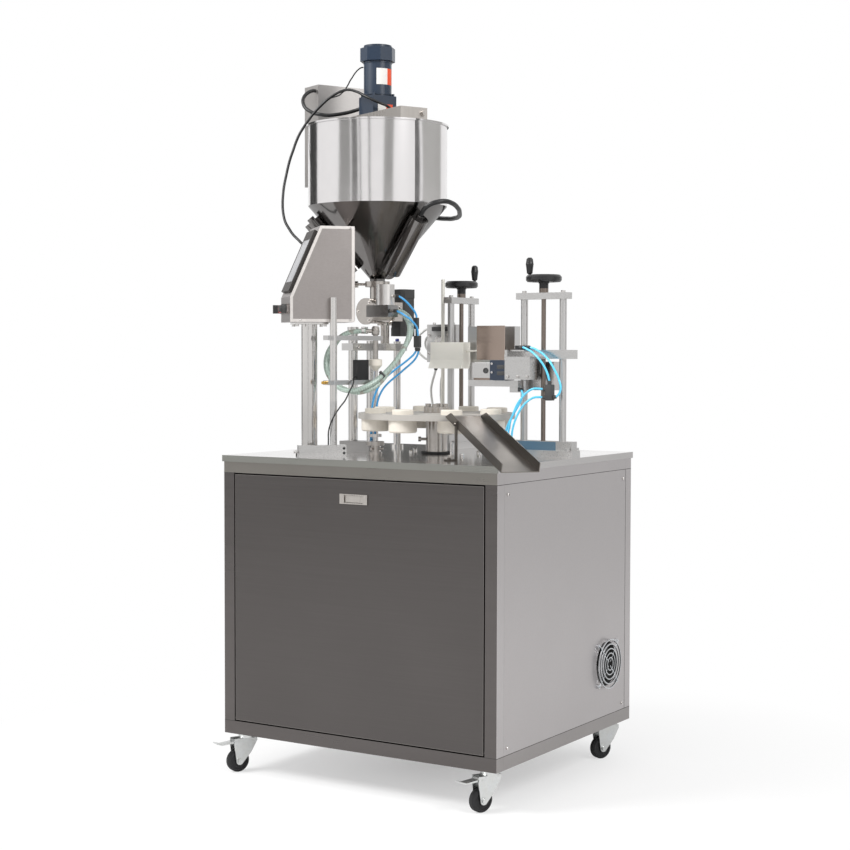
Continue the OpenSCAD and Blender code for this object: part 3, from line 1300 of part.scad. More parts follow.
// Cords, tubes and hoses
module product_hoses() {
    color("darkseagreen") on_table() for (route = hose_routes) cord(route, hose_d, 1, 10);
}
module fill_air_tubes() {
    color("dodgerblue") on_table() {
        for (route = fill_air_routes) cord(route, air_d);
        block([-88, 40, 360], [-76, 52, 393]);
        block([-86, 36, 306], [-66, 48, 340]);
    }
}
module seal_air_tubes() {
    color("lightgray") on_table() for (route = seal_air_routes) cord(route, seal_air_d);
}
module trim_air_tubes() {
    color("deepskyblue") on_table() {
        for (route = trim_air_routes) cord(route, air_d);
        block([392 + seam, -44, 160], [412 - seam, -22, 204 - seam]);
    }
}
module cables() {
    thickness = [wire_d, conduit_d, cable_d, heater_conduit_d, wire_d];
    color("black") on_table() for (k = [0:4]) cord(cable_routes[k], thickness[k]);
}

base_frame();
table_plate();
front_door();
latch_plate();
latch_paddle();
side_panels();
floor_pan();
fan_housing();
fan_guard();
fan_rotor();
for (i = [0:3]) {
    caster_fork(i);
    caster_wheel(i);
    brake_pedal(i);
}
index_drive();
sensor_box();
turntable_column();
turntable_disc();
tube_cups();
lift_guides();
lifter_rod();
ejector_pin();
chute();
hmi_post();
hmi_box();
hmi_screen();
mode_selector();
start_button();
speed_knob();
hopper();
hopper_bridge();
stirrer_motor();
stirrer();
control_box();
dosing_pump();
servo_motor();
fill_stand();
fill_nozzle();
sensor_stand();
seal_stand();
seal_carriage();
seal_screw();
seal_jaw();
trim_stand();
trim_carriage();
trim_screw();
trim_jaw();
product_hoses();
fill_air_tubes();
seal_air_tubes();
trim_air_tubes();
cables();
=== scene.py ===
"""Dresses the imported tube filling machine: finishes, cords, trim and a studio."""

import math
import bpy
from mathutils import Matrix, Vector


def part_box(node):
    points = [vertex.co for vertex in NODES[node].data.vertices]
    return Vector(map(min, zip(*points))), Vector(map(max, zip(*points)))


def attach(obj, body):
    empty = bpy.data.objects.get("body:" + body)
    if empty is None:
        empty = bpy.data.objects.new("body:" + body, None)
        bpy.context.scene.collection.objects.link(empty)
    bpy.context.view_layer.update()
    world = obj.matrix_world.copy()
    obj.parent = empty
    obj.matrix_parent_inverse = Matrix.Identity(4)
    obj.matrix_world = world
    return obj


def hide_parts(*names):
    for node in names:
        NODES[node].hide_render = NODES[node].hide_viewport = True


bl_info = {
    "name": "Tube filling machine looks",
    "version": (1, 0, 0),
    "blender": (4, 5, 0),
    "location": "View3D > Sidebar > Filler",
    "description": "Finishes, cords, trim and studio for a tube filling machine",
    "category": "Object",
}

import bmesh
import bpy
from bpy.props import FloatProperty, FloatVectorProperty, PointerProperty
from bpy.types import Operator, Panel, PropertyGroup
from mathutils import Color, Matrix, Vector

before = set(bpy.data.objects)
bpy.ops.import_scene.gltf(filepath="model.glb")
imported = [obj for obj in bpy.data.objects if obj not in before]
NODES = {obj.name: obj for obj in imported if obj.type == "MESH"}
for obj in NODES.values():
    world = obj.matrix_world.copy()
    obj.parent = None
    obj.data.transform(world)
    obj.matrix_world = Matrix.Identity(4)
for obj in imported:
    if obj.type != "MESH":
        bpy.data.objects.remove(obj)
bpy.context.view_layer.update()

MM = 0.001
table_low, table_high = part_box("table_plate")
TABLE_TOP = Vector(
    ((table_low.x + table_high.x) / 2, (table_low.y + table_high.y) / 2, table_high.z)
)


def on_table(x, y, z):
    """A point in metres, from millimetres beside and above the middle of the table top."""
    return TABLE_TOP + Vector((x, y, z)) * MM


def seat(x, y, z=0.0, turn=0.0):
    """A place on the table, turned about the vertical by some degrees."""
    turned = Matrix.Rotation(math.radians(turn), 4, "Z")
    return Matrix.Translation(on_table(x, y, z)) @ turned


def facing(place, axis):
    """The same place with its Z axis along a direction of its own."""
    return place @ Vector(axis).to_track_quat("Z", "Y").to_matrix().to_4x4()


def shifted(place, x=0.0, y=0.0, z=0.0):
    """The same place moved by millimetres along its own axes."""
    return place @ Matrix.Translation(Vector((x, y, z)) * MM)


# Places of the main groups, in millimetres on the table
HOPPER_X, HOPPER_Y = -212, 35
HOPPER = seat(HOPPER_X, HOPPER_Y, turn=-25)
PUMP = seat(HOPPER_X, HOPPER_Y, turn=-12)
PUMP_Z, PUMP_FACE, PUMP_BOLTS_R = 412, -51.2, 30
PANEL_TURN = 46.5
PANEL = seat(-251.9, -252.7, turn=PANEL_TURN)
# Front, back, half width, low, top, lip and brow of the panel box about its foot
PANEL_BOX = (-68, 115, 75, 376, 644, 446, 18)
MOTOR_R, MOTOR_Z = 41.0, 1045.4
ROD_X, ROD_Y, ARM_TURN = -151.6, -276.3, 74.5
SENSOR_ROD = seat(ROD_X, ROD_Y, turn=PANEL_TURN)
SEAL_X, SEAL_Y, SEAL_FACE = -75, 290, 262
TRIM_X, TRIM_Y, TRIM_FACE = 348.5, 30, -30
GUIDE_HALF, GUIDE_TOP = 61, 458
POST_X, POST_TOP, POSTS_Y = -255, 325.2, (-30, 72, 208)
CROSSHEAD_Z = 307.5
TURN_X, TURN_Y = 17, 0
FRAME_X, FRAME_Y = 446, 396
RAIL_LOW, RAIL_HIGH = -755, -49
DOOR_HALF, DOOR_LOW, DOOR_HIGH = 406, -751, -53
TABLE_BOLTS = ((-45, -40), (163, -101), (130, 48), (-95, 60))
FILL_JOINERS = (((-88, 40, 360), (-76, 52, 393)), ((-86, 36, 306), (-66, 48, 340)))
TRIM_JOINER = ((392.2, -44, 160), (411.8, -22, 203.8))
CONE_TOP = 721
SIDE_SCREWS_Y, SIDE_SCREWS_Z = (-342, 342), (-76, -736)
SEAL_SCREWS_X, SEAL_SCREWS_Z, SEAL_TOP = (-172, -104), (288, 345), 377
TRIM_SCREWS_X, TRIM_SCREWS_Z = (268, 300, 330), 224
CUTTER_X, CUTTER_SCREWS_Z, WINDOWS_Z = 216, (236, 260), (233.4, 251.2)
# The point of the first hose before its tie
TIE_AFTER = 11
HERE = seat(0, 0)
OUT, ASIDE = (0, -1, 0), (1, 0, 0)
UPRIGHT = Matrix.Rotation(math.pi / 2, 4, "X")
# The last point and its neighbour at the two ends of a route
BOTH_ENDS = ((0, 1), (-1, -2))

# Grain of brushed finishes, as marks per metre along each axis
ACROSS, UPWARD, EVEN = (3, 260, 260), (260, 260, 4), (420, 420, 420)
SEAM_GRAIN = (120, 120, 120)
SHARP_ANGLE = math.radians(35)
WHITE = (1, 1, 1, 1)

# Lamps, in metres from the middle of the table top
KEY_PLACE, KEY_SIZE = (-2.6, -3.4, 3.6), 2.4
FILL_PLACE, FILL_SIZE = (4.2, -1.2, 3.0), 2.2


def drop(x, y, *heights):
    """Points of a cord that goes straight down through the table."""
    return [(x, y, z) for z in heights]


# Cords as a diameter and the points of a route, in millimetres on the table
PRODUCT_HOSES = (
    (14, (-146, 25, 413), (-141, 25, 413), (-120, 24, 406), (-99, 20, 389), (-85, 11, 367),
     (-77, -2, 344), (-74, -18, 322), (-73, -37, 301), (-73, -57, 283), (-75, -78, 265),
     (-77, -100, 249), (-81, -122, 233), (-86, -145, 218), (-95, -167, 204), (-109, -188, 192),
     (-129, -204, 184), (-155, -213, 184), (-180, -215, 194), (-201, -214, 212), (-218, -212, 234),
     (-227, -207, 259), (-226, -201, 286), (-215, -194, 310), (-199, -185, 330), (-179, -173, 345),
     (-156, -159, 351), (-137.5, -146.4, 352), (-133.4, -143.5, 352)),
    (14, (-146, 43, 413), (-141, 43, 413), (-120, 43, 405), (-99, 39, 387), (-88, 29, 364),
     (-84, 15, 341), (-84, -2, 319), (-85, -21, 299), (-87, -41, 280), (-88, -61, 262),
     (-90, -82, 243), (-92, -102, 225), (-95, -124, 207), (-102, -145, 192), (-116, -167, 182),
     (-136, -185, 178), (-160, -196, 184), (-185, -199, 195), (-207, -199, 213), (-221, -196, 235),
     (-228, -190, 262), (-226, -183, 288), (-217, -176, 313), (-202, -168, 335), (-183, -154, 348),
     (-163, -135, 352), (-143.4, -124.4, 352), (-138.4, -124.8, 352)),
)
FILL_AIR = (
    (6, (-111.8, -17, 455), (-106.8, -17, 455), (-100, -14, 452), (-92, -7, 445), (-87, 2, 437),
     (-84, 12, 429), (-83, 22, 421), (-82, 32, 414), (-82, 41, 405), (-82, 46, 398.2),
     (-82, 46, 393.2)),
    (6, (-118.6, -17, 412), (-113.6, -17, 412), (-106, -16, 410), (-95, -11, 404), (-87, -5, 397),
     (-80, 4, 390), (-76, 13, 382), (-72, 22, 373), (-71, 31, 364), (-72, 37, 353),
     (-73, 40, 345.2), (-73, 40, 340.2)),
    (6, (-79, 42, 305.8), (-79, 42, 300.8), (-87, 41, 287), (-103, 39, 273), (-120, 36, 260),
     (-137, 33, 248), (-154, 29, 235), (-170, 25, 222), (-185, 22, 207), (-198, 20, 190),
     (-207, 18, 171), (-214, 17, 151), (-218, 16, 130), (-221, 16, 109),
     *drop(-222, 16, 88, 66, 45, 24, 3, -19, -35, -40)),
    (6, (-72, 42, 305.8), (-72, 42, 300.8), (-77, 45, 286), (-90, 47, 269), (-106, 46, 255),
     (-123, 44, 242), (-139, 42, 229), (-156, 39, 216), (-172, 36, 203), (-187, 34, 188),
     (-199, 32, 170), (-207, 31, 151), (-212, 31, 130), (-215, 31, 109), (-216, 31, 88),
     *drop(-217, 31, 66, 45, 24, 3, -19, -35, -40)),
)
SEAL_AIR = (
    (7, (-184, 290, 366), (-189, 290, 366), (-195, 290, 364), (-205, 288, 360), (-213, 287, 354),
     (-221, 285, 347), (-227, 284, 338), (-231, 282, 328), (-232, 282, 317), (-231, 282, 306),
     (-227, 284, 296), (-221, 285, 287), (-213, 287, 280), (-205, 288, 274), (-195, 290, 270),
     (-189, 290, 268), (-184, 290, 268)),
    (7, (-184, 308, 350), (-189, 308, 350), (-192, 308, 349), (-199, 307, 346), (-205, 306, 341),
     (-210, 305, 335), (-213, 305, 328), (-214, 305, 320), (-213, 305, 312), (-210, 305, 305),
     (-205, 306, 299), (-199, 307, 294), (-192, 308, 291), (-189, 308, 290), (-184, 308, 290)),
    (7, (-164, 286, 247.8), (-164, 286, 242.8), (-167, 284, 226), (-171, 279, 204),
     (-173, 274, 182), (-170, 270, 160), (-164, 266, 139), (-156, 262, 118), (-149, 259, 97),
     (-143, 257, 75), *drop(-138, 256, 53, 30, 8, -15, -37, -55, -60)),
    (7, (-148, 300, 247.8), (-148, 300, 242.8), (-149, 300, 226), (-152, 298, 204),
     (-152, 296, 181), (-150, 293, 160), (-146, 290, 138), (-141, 287, 117), (-136, 284, 95),
     (-133, 282, 73), *drop(-130, 280, 51, 29, 7, -16, -38, -55, -60)),
)
TRIM_AIR = (
    (6, (294, -9, 306), (299, -9, 306), (309, -11, 305), (322, -14, 300), (335, -18, 295),
     (348, -22, 287), (359, -25, 279), (370, -28, 269), (380, -30, 258), (388, -31, 246),
     (395, -33, 233), (400, -34, 219), (402, -34, 209), (402, -34, 204)),
    (6, (312, 1, 306), (317, 1, 306), (326, 0, 305), (340, -2, 301), (353, -5, 295),
     (366, -9, 289), (377, -12, 281), (388, -15, 272), (398, -19, 262), (407, -22, 251),
     (415, -24, 239), (423, -26, 227), (429, -28, 214), (434, -30, 200), (433, -31, 186),
     (426, -32, 174), (417, -33, 170), (412, -33, 170)),
    (6, (392, -32, 190), (387, -32, 190), (371, -34, 192), (351, -37, 191), (333, -41, 180),
     (319, -45, 164), (308, -48, 147), (300, -51, 127), (293, -54, 108), (288, -55, 87),
     (285, -56, 66), (283, -56, 45), *drop(282, -56, 24, 3, -18, -39, -55, -60)),
    (6, (392, -34, 168), (387, -34, 168), (373, -36, 169), (355, -41, 167), (339, -45, 157),
     (327, -49, 144), (317, -52, 128), (309, -55, 110), (303, -57, 92), (299, -58, 74),
     (297, -58, 55), *drop(296, -58, 35, 16, -3, -22, -41, -55, -60)),
    (6, (288.2, -2, 188), (293.2, -2, 188), (303, -8, 178), (305, -17, 162), (300, -25, 145),
     (293, -32, 128), (285, -37, 111), (277, -40, 94), (271, -42, 75), (268, -43, 56),
     *drop(266, -44, 37, 18, -2, -21, -41, -55, -60)),
)
CABLES = (
    (4, (-247.5, 12.6, 1130), (-251.7, 9.9, 1130), (-260, 6, 1125), (-272, 4, 1114),
     (-283, 7, 1104), (-295, 12, 1095), (-306, 20, 1088), (-318, 28, 1081), (-330, 36, 1075),
     (-342, 44, 1071), (-355, 53, 1068), (-368, 61, 1065), (-382, 68, 1064), (-396, 76, 1064),
     (-410, 83, 1064), (-419.1, 87.5, 1064), (-423.6, 89.6, 1064)),
    (11, (-458.8, 61.7, 1085), (-460.9, 57.2, 1085), (-467, 46, 1081), (-473, 32, 1070),
     (-473, 20, 1055), (-466, 12, 1040), (-454, 7, 1026), (-439, 6, 1016), (-422, 9, 1008),
     (-404, 12, 1004), (-386, 17, 1001), (-368, 24, 1001), (-352, 32, 1003), (-336, 42, 1006),
     (-319, 50, 1010), (-302, 57, 1015), (-284, 59, 1020), (-266, 58, 1023), (-252.9, 54.1, 1025),
     (-248.4, 52, 1025)),
    (8, (-172.2, 25.2, 1000), (-167.7, 23.1, 1000), (-153, 11, 1003), (-152, -11, 1009),
     (-167, -28, 1017), (-187, -37, 1027), (-209, -38, 1038), (-231, -34, 1049), (-253, -27, 1057),
     (-274, -17, 1063), (-296, -7, 1066), (-319, 1, 1065), (-342, 4, 1059), (-364, 4, 1049),
     (-384, 0, 1034), (-400, -6, 1018), (-415, -13, 1000), (-428, -20, 980), (-438, -29, 960),
     (-447, -37, 939), (-453, -45, 916), (-457, -52, 894), (-461, -60, 871), (-464, -67, 847),
     (-465, -74, 824), (-465, -82, 801), (-463, -91, 779), (-459, -100, 757), (-453, -110, 735),
     (-445, -120, 714), (-436, -128, 694), (-424, -135, 673), (-409, -138, 654), (-393, -140, 636),
     (-374, -142, 621), (-354, -149, 608), (-334, -160, 600), (-317, -176, 597),
     (-303.2, -190.2, 596), (-299.6, -193.6, 596)),
    (14, (-21.3, -27, 685), (-18.2, -28, 688.8), (-4, -34, 702), (17, -34, 714), (37, -21, 721),
     (48, 1, 723), (50, 26, 720), (47, 50, 716), (41, 74, 710), (32, 97, 706), (20, 119, 702),
     (8, 140, 699), (-5, 161, 696), (-20, 181, 695), (-37, 200, 694), (-56, 216, 694),
     (-77, 231, 694), (-98, 243, 696), (-121, 254, 698), (-144, 262, 701), (-168, 269, 704),
     (-193, 272, 706), (-218, 273, 709), (-243, 272, 711), (-267, 267, 713), (-291, 260, 715),
     (-315, 251, 716), (-337, 239, 717), (-358, 226, 719), (-378, 211, 722), (-397, 195, 727),
     (-413, 179, 737), (-427, 164, 751), (-434, 155, 773), (-436, 152, 792.8), (-436, 152, 797.8)),
    (4, (-126.7, -201.4, 222), (-128, -206.2, 222), (-126, -216, 218), (-118, -226, 208),
     (-117, -235, 196), (-120, -243, 182), (-123, -250, 168), (-126, -258, 155), (-129, -269, 144),
     (-133, -279, 132), (-138, -287, 119), (-144, -291, 106), (-150, -293, 91), (-156, -292, 76),
     (-161, -288, 62), (-165, -282, 48), (-167, -279.5, 37.2), (-167, -279.5, 32.2)),
)


def tone(words, default):
    """A colour as the eye sees it."""
    return FloatVectorProperty(
        description=words, subtype="COLOR_GAMMA", size=3, min=0, max=1, default=default
    )


def length(words, default):
    """A length in metres."""
    return FloatProperty(description=words, unit="LENGTH", min=0, default=default)


class MachineTones(PropertyGroup):
    """Colours of the machine's finishes."""

    # Painted light and shade: frame, door and side panels are one stainless steel; the frame's
    # front and the door are toned darker as painted shade, the side panels lighter as painted
    # light.
    cabinet: tone("Satin steel of the frame", (0.37, 0.355, 0.35))
    door: tone("Satin steel of the door", (0.345, 0.332, 0.327))
    side: tone("Satin steel of the side panels", (0.73, 0.715, 0.715))
    plate: tone("Satin steel of the table plate", (0.85, 0.84, 0.835))
    steel: tone("Brushed steel of boxes and brackets", (0.72, 0.70, 0.68))
    skirt: tone("Satin steel of the rails under the table", (0.505, 0.492, 0.472))
    chute: tone("Worn steel of the chute", (0.47, 0.45, 0.43))
    panel: tone("Brushed steel of the operator panel", (0.635, 0.611, 0.601))
    seam: tone("Ground edges of the panel box", (0.86, 0.84, 0.825))
    box: tone("Brushed steel of the control box", (0.77, 0.755, 0.745))
    polished: tone("Polished steel of the hopper", (0.90, 0.89, 0.89))
    # Painted shade: the cone is the hopper's polished steel, toned darker for the dark underside
    # it reflects.
    cone: tone("Polished steel under the hopper", (0.45, 0.44, 0.435))
    bar: tone("Ground guide bars", (0.84, 0.83, 0.82))
    machined: tone("Machined blocks", (0.78, 0.775, 0.77))
    dark_block: tone("Machined blocks in shade", (0.55, 0.545, 0.54))
    blue_block: tone("Anodised block of the trimmer", (0.30, 0.33, 0.38))
    drive: tone("Paint of the index drive", (0.36, 0.38, 0.40))
    motor: tone("Paint of the stirrer motor", (0.07, 0.145, 0.225))
    # Painted shade: the disc is white nylon, toned darker for the shade that falls on it.
    nylon: tone("Turned nylon disc", (0.69, 0.675, 0.652))
    ivory: tone("Turned cups", (0.90, 0.875, 0.83))
    white: tone("Moulded white sensor box", (0.96, 0.95, 0.915))
    black: tone("Moulded black parts", (0.075, 0.075, 0.08))
    red: tone("Red push button", (0.72, 0.10, 0.08))
    screen: tone("Screen behind its cover", (0.62, 0.62, 0.63))
    bezel: tone("Frame of the screen", (0.26, 0.25, 0.245))
    zinc: tone("Plated caster pressings", (0.80, 0.81, 0.82))
    tyre: tone("Caster treads", (0.07, 0.07, 0.075))
    copper: tone("Copper tinted jaw plates", (0.62, 0.56, 0.52))
    bronze: tone("Oiled lead screws", (0.50, 0.46, 0.43))
    brass: tone("Brass screw tips", (0.80, 0.64, 0.32))
    hose: tone("Braided clear hose", (0.66, 0.73, 0.69))
    stripe: tone("Yarn in the hose", (0.52, 0.33, 0.27))
    # Painted highlight: the lighter strip round the door's border stands for the bright line its
    # bent edge catches.
    rim: tone("Folded edge of the door", (0.50, 0.485, 0.475))
    gap: tone("Shaded gaps of the frame", (0.20, 0.19, 0.185))
    # Painted light: the side faces of the rails over the casters take this lighter tone.
    rail: tone("Satin steel of the rails over the casters", (0.62, 0.605, 0.60))
    edge: tone("Front edge of the table plate", (0.56, 0.56, 0.54))
    film: tone("Blue film on a base bar", (0.42, 0.53, 0.61))
    cap: tone("Blue cap of a filler post", (0.12, 0.16, 0.42))
    blue: tone("Air tubes of the filler", (0.08, 0.42, 0.86))
    cyan: tone("Air tubes of the trimmer", (0.13, 0.63, 0.93))
    pale_tube: tone("Air tubes of the sealer", (0.82, 0.82, 0.81))
    label: tone("Blank paper labels", (0.93, 0.92, 0.90))
    mark: tone("Coloured part of blank labels", (0.90, 0.32, 0.16))
    floor: tone("Studio floor", (0.97, 0.97, 0.97))


class MachineStudio(PropertyGroup):
    """Camera and light of the studio."""

    camera_place: FloatVectorProperty(
        description="Camera from the middle of the table top",
        subtype="TRANSLATION",
        unit="LENGTH",
        size=3,
        default=(2.595, -4.1587, 0.2872),
    )
    camera_turn: FloatVectorProperty(
        description="Pitch from level, roll and turn of the camera",
        subtype="EULER",
        unit="ROTATION",
        size=3,
        default=(math.radians(-2.397), math.radians(0.112), math.radians(32.19)),
    )
    lens: FloatProperty(description="Focal length in mm on a 36 mm frame", default=71.93)
    floor_size: length("Half width of the studio floor", 30.0)
    card_distance: length("Distance of the dark cards", 6.0)
    card_foot: length("Lower edge of the long dark cards", 0.7)
    card_low: length("Lower edge of the short dark cards", 1.95)
    card_high: length("Upper edge of the dark cards", 3.3)
    key: FloatProperty(description="Key lamp in watts", default=260.0)
    fill: FloatProperty(description="Fill lamp in watts", default=120.0)
    sky: FloatProperty(description="Level of the plain sky", default=0.62)


def linear(colour):
    """A colour as shaders take it, with full alpha."""
    return (*Color(colour).from_srgb_to_scene_linear(), 1.0)


def shade(colour, factor):
    """The same colour, lighter or darker."""
    return (*[min(1.0, c * factor) for c in colour[:3]], 1.0)


def joined(operation):
    """A method that joins a socket with another one, or with a number, in a Math node."""
    return lambda self, other: self.finish.make("Math", {0: self, 1: other}, operation=operation)


class Sock:
    """A shader socket that joins in Python sums by adding Math nodes."""

    def __init__(self, finish, socket):
        self.finish = finish
        self.socket = socket

    __add__ = __radd__ = joined("ADD")
    __sub__ = joined("SUBTRACT")
    __mul__ = joined("MULTIPLY")
    __gt__ = joined("GREATER_THAN")
    __lt__ = joined("LESS_THAN")
    most = joined("MAXIMUM")
    least = joined("MINIMUM")


class Finish:
    """A material, or a world, that is written as sums of its nodes."""

    def __init__(self, name, kind="materials"):
        self.material = getattr(bpy.data, kind).new(name)
        self.material.use_nodes = True
        self.tree = self.material.node_tree
        self.tree.nodes.clear()

    def make(self, kind, sockets=(), out=0, **settings):
        """Adds a node, sets it, then fills or links its sockets, and gives one output."""
        node = self.tree.nodes.new("ShaderNode" + kind)
        for name, value in settings.items():
            setattr(node, name, value)
        for name, value in dict(sockets).items():
            if isinstance(value, Sock):
                self.tree.links.new(value.socket, node.inputs[name])
            else:
                node.inputs[name].default_value = value
        return Sock(self, node.outputs[out]) if node.outputs else None

    def place(self):
        return self.make("TexCoord", out="Object")

    def noise(self, scale, detail=2.0):
        """Soft noise; a scale of three numbers stretches it along the axes."""
        vector = self.place()
        if not isinstance(scale, (int, float)):
            vector = self.make("Mapping", {"Vector": vector, "Scale": scale})
            scale = 1.0
        return self.make("TexNoise", {"Vector": vector, "Scale": scale, "Detail": detail})

    def zone(self, centre, half, turn=0.0):
        """1 inside a turned box on the table, in millimetres, and 0 outside."""
        box = {
            "Vector": self.place(),
            "Location": on_table(*centre),
            "Rotation": (0, 0, math.radians(turn)),
            "Scale": Vector(half) * MM,
        }
        inside = self.make("Mapping", box, vector_type="TEXTURE")
        size = self.make("VectorMath", {0: inside}, operation="ABSOLUTE")
        x, y, z = (self.make("SeparateXYZ", {0: size}, out=axis) for axis in "XYZ")
        return x.most(y).most(z) < 1.0

    def zoned(self, base, rough, roughness, metal, zones):
        """Colour, roughness and metal with another look in each zone."""
        metallic = metal
        for mask, other, other_rough, other_metal in [zone(self) for zone in zones]:
            base = self.mix(mask, base, other)
            rough = rough + mask * (other_rough - roughness)
            if other_metal != metal:
                metallic = mask * (other_metal - metal) + metallic
        return base, rough, metallic

    def mix(self, factor, first, second):
        return self.make("Mix", {0: factor, 6: first, 7: second}, out=2, data_type="RGBA")

    def bump(self, height, strength, distance):
        relief = {"Height": height, "Strength": strength, "Distance": distance * MM}
        return self.make("Bump", relief)

    def close(self, colour, roughness, metallic=0.0, normal=None, **constants):
        """Ends the material in one shader."""
        sockets = {"Base Color": colour, "Roughness": roughness, "Metallic": metallic}
        if normal is not None:
            sockets["Normal"] = normal
        for name, value in constants.items():
            sockets[name.replace("_", " ").title().replace("Ior", "IOR")] = value
        return self.end(self.make("BsdfPrincipled", sockets))

    def end(self, surface, output="OutputMaterial"):
        self.make(output, {"Surface": surface})
        return self.material


def brushed(name, colour, roughness=0.3, grain=ACROSS, zones=(), depth=0.09):
    """Sheet or bar with fine grain, handling marks and, in zones, another tone or a plastic."""
    f = Finish(name)
    streak = f.noise(grain, 3.0)
    smudge = f.noise(4.5, 3.0)
    base = f.mix(streak, shade(colour, 1 - depth), shade(colour, 1 + depth))
    base = f.mix(smudge * 0.45, base, shade(colour, 0.9))
    rough = roughness + (streak - 0.5) * 0.12 + (smudge - 0.5) * 0.16
    looks = f.zoned(base, rough, roughness, 1.0, zones)
    return f.close(*looks, f.bump(streak, depth, 0.05))


def patch(centre, half, colour, roughness, metal=1.0, turn=0.0):
    """A zone of another tone, for a brushed or moulded finish."""
    return lambda f: (f.zone(centre, half, turn), linear(colour), roughness, metal)


def polished(name, colour, painted_shade_colour, painted_shade_below):
    """Mirror sheet that is a little wavy; under a height, on the cone, a darker tone is painted
    shade for the dark underside that the cone reflects.
    """
    f = Finish(name)
    z = f.make("SeparateXYZ", {0: f.place()}, out="Z")
    wave = f.noise((5, 5, 2), 1.0)
    haze = f.noise(28.0, 4.0)
    scratch = f.noise((240, 240, 6), 2.0)
    base = f.mix(haze * 0.4, colour, shade(colour, 0.84))
    # Painted shade: below the cone's top the steel takes the darker tone.
    base = f.mix(z < painted_shade_below, base, f.mix(haze * 0.5, painted_shade_colour, shade(painted_shade_colour, 0.7)))
    rough = 0.10 + haze * 0.06 + scratch * 0.03
    return f.close(base, rough, 1.0, f.bump(wave, 0.6, 14.0))


def painted(name, colour):
    """Sprayed enamel with orange peel and rubbed spots."""
    f = Finish(name)
    peel = f.noise(620.0, 2.0)
    worn = f.noise(16.0, 5.0)
    base = f.mix(worn * 0.5, shade(colour, 1.15), shade(colour, 0.78))
    rough = 0.38 + (worn - 0.5) * 0.25
    return f.close(base, rough, 0.0, f.bump(peel, 0.12, 0.15), coat_weight=0.25)


def moulded(name, colour, roughness=0.5, grain=900.0, coat=0.0, zones=(), gloss=0.5):
    """Plastic with a fine grain, slight flow marks and, in zones, another tone."""
    f = Finish(name)
    fine = f.noise(grain, 2.0)
    flow = f.noise((9, 9, 30), 3.0)
    base = f.mix(flow * 0.6, shade(colour, 1.06), shade(colour, 0.88))
    looks = f.zoned(base, roughness + (fine - 0.5) * 0.14, roughness, 0.0, zones)
    bump = f.bump(fine, 0.18, 0.08)
    return f.close(*looks, bump, coat_weight=coat, ior=1.48, specular_ior_level=gloss)


def tube(name, colour):
    """Glossy extruded tube with faint draw marks."""
    f = Finish(name)
    draw = f.noise(140.0, 2.0)
    base = f.mix(draw * 0.7, shade(colour, 1.12), shade(colour, 0.82))
    bump = f.bump(draw, 0.08, 0.1)
    return f.close(base, 0.22 + draw * 0.12, 0.0, bump, coat_weight=0.35)


def braided(name, colour, yarn):
    """Clear hose over crossed yarn."""
    f = Finish(name)
    place = f.place()
    crossing = []
    for turn in (0.7, -0.7):
        turned = f.make("Mapping", {"Vector": place, "Rotation": (turn, turn, 0.4)})
        wave = {"Vector": turned, "Scale": 62.0, "Distortion": 0.6}
        crossing.append(f.make("TexWave", wave, out="Fac", bands_direction="DIAGONAL"))
    weave = crossing[0].most(crossing[1])
    marks = f.noise(30.0, 2.0) > 0.63
    base = f.mix(weave, shade(colour, 0.72), shade(colour, 1.15))
    base = f.mix(marks * weave * 0.55, base, yarn)
    bump = f.bump(weave, 0.25, 0.3)
    return f.close(base, 0.2 + weave * 0.15, 0.0, bump, coat_weight=0.5)


def plated(name, colour):
    """Bright zinc with its faint crystal tint."""
    f = Finish(name)
    crystal = f.make("TexVoronoi", {"Vector": f.place(), "Scale": 240.0}, out=1)
    grey = f.make("RGBToBW", {0: crystal})
    stain = f.noise(45.0, 3.0)
    base = f.mix(grey * 0.35, colour, shade(colour, 0.8))
    base = f.mix(stain * 0.3, base, linear((0.74, 0.72, 0.62)))
    return f.close(base, 0.28 + grey * 0.14, 1.0, f.bump(stain, 0.1, 0.2))


def rubber(name, colour):
    """Tread rubber with scuffs and dust."""
    f = Finish(name)
    scuff = f.noise(70.0, 5.0)
    base = f.mix(scuff, shade(colour, 0.7), shade(colour, 2.2))
    return f.close(base, 0.62 + scuff * 0.2, 0.0, f.bump(scuff, 0.3, 0.3))


def linked(name, data):
    """An object of some data, in the scene."""
    obj = bpy.data.objects.new(name, data)
    bpy.context.scene.collection.objects.link(obj)
    return obj


def meshed(name, bm, material):
    """An object of a finished mesh."""
    mesh = bpy.data.meshes.new(name)
    bm.to_mesh(mesh)
    bm.free()
    mesh.materials.append(material)
    return linked(name, mesh)


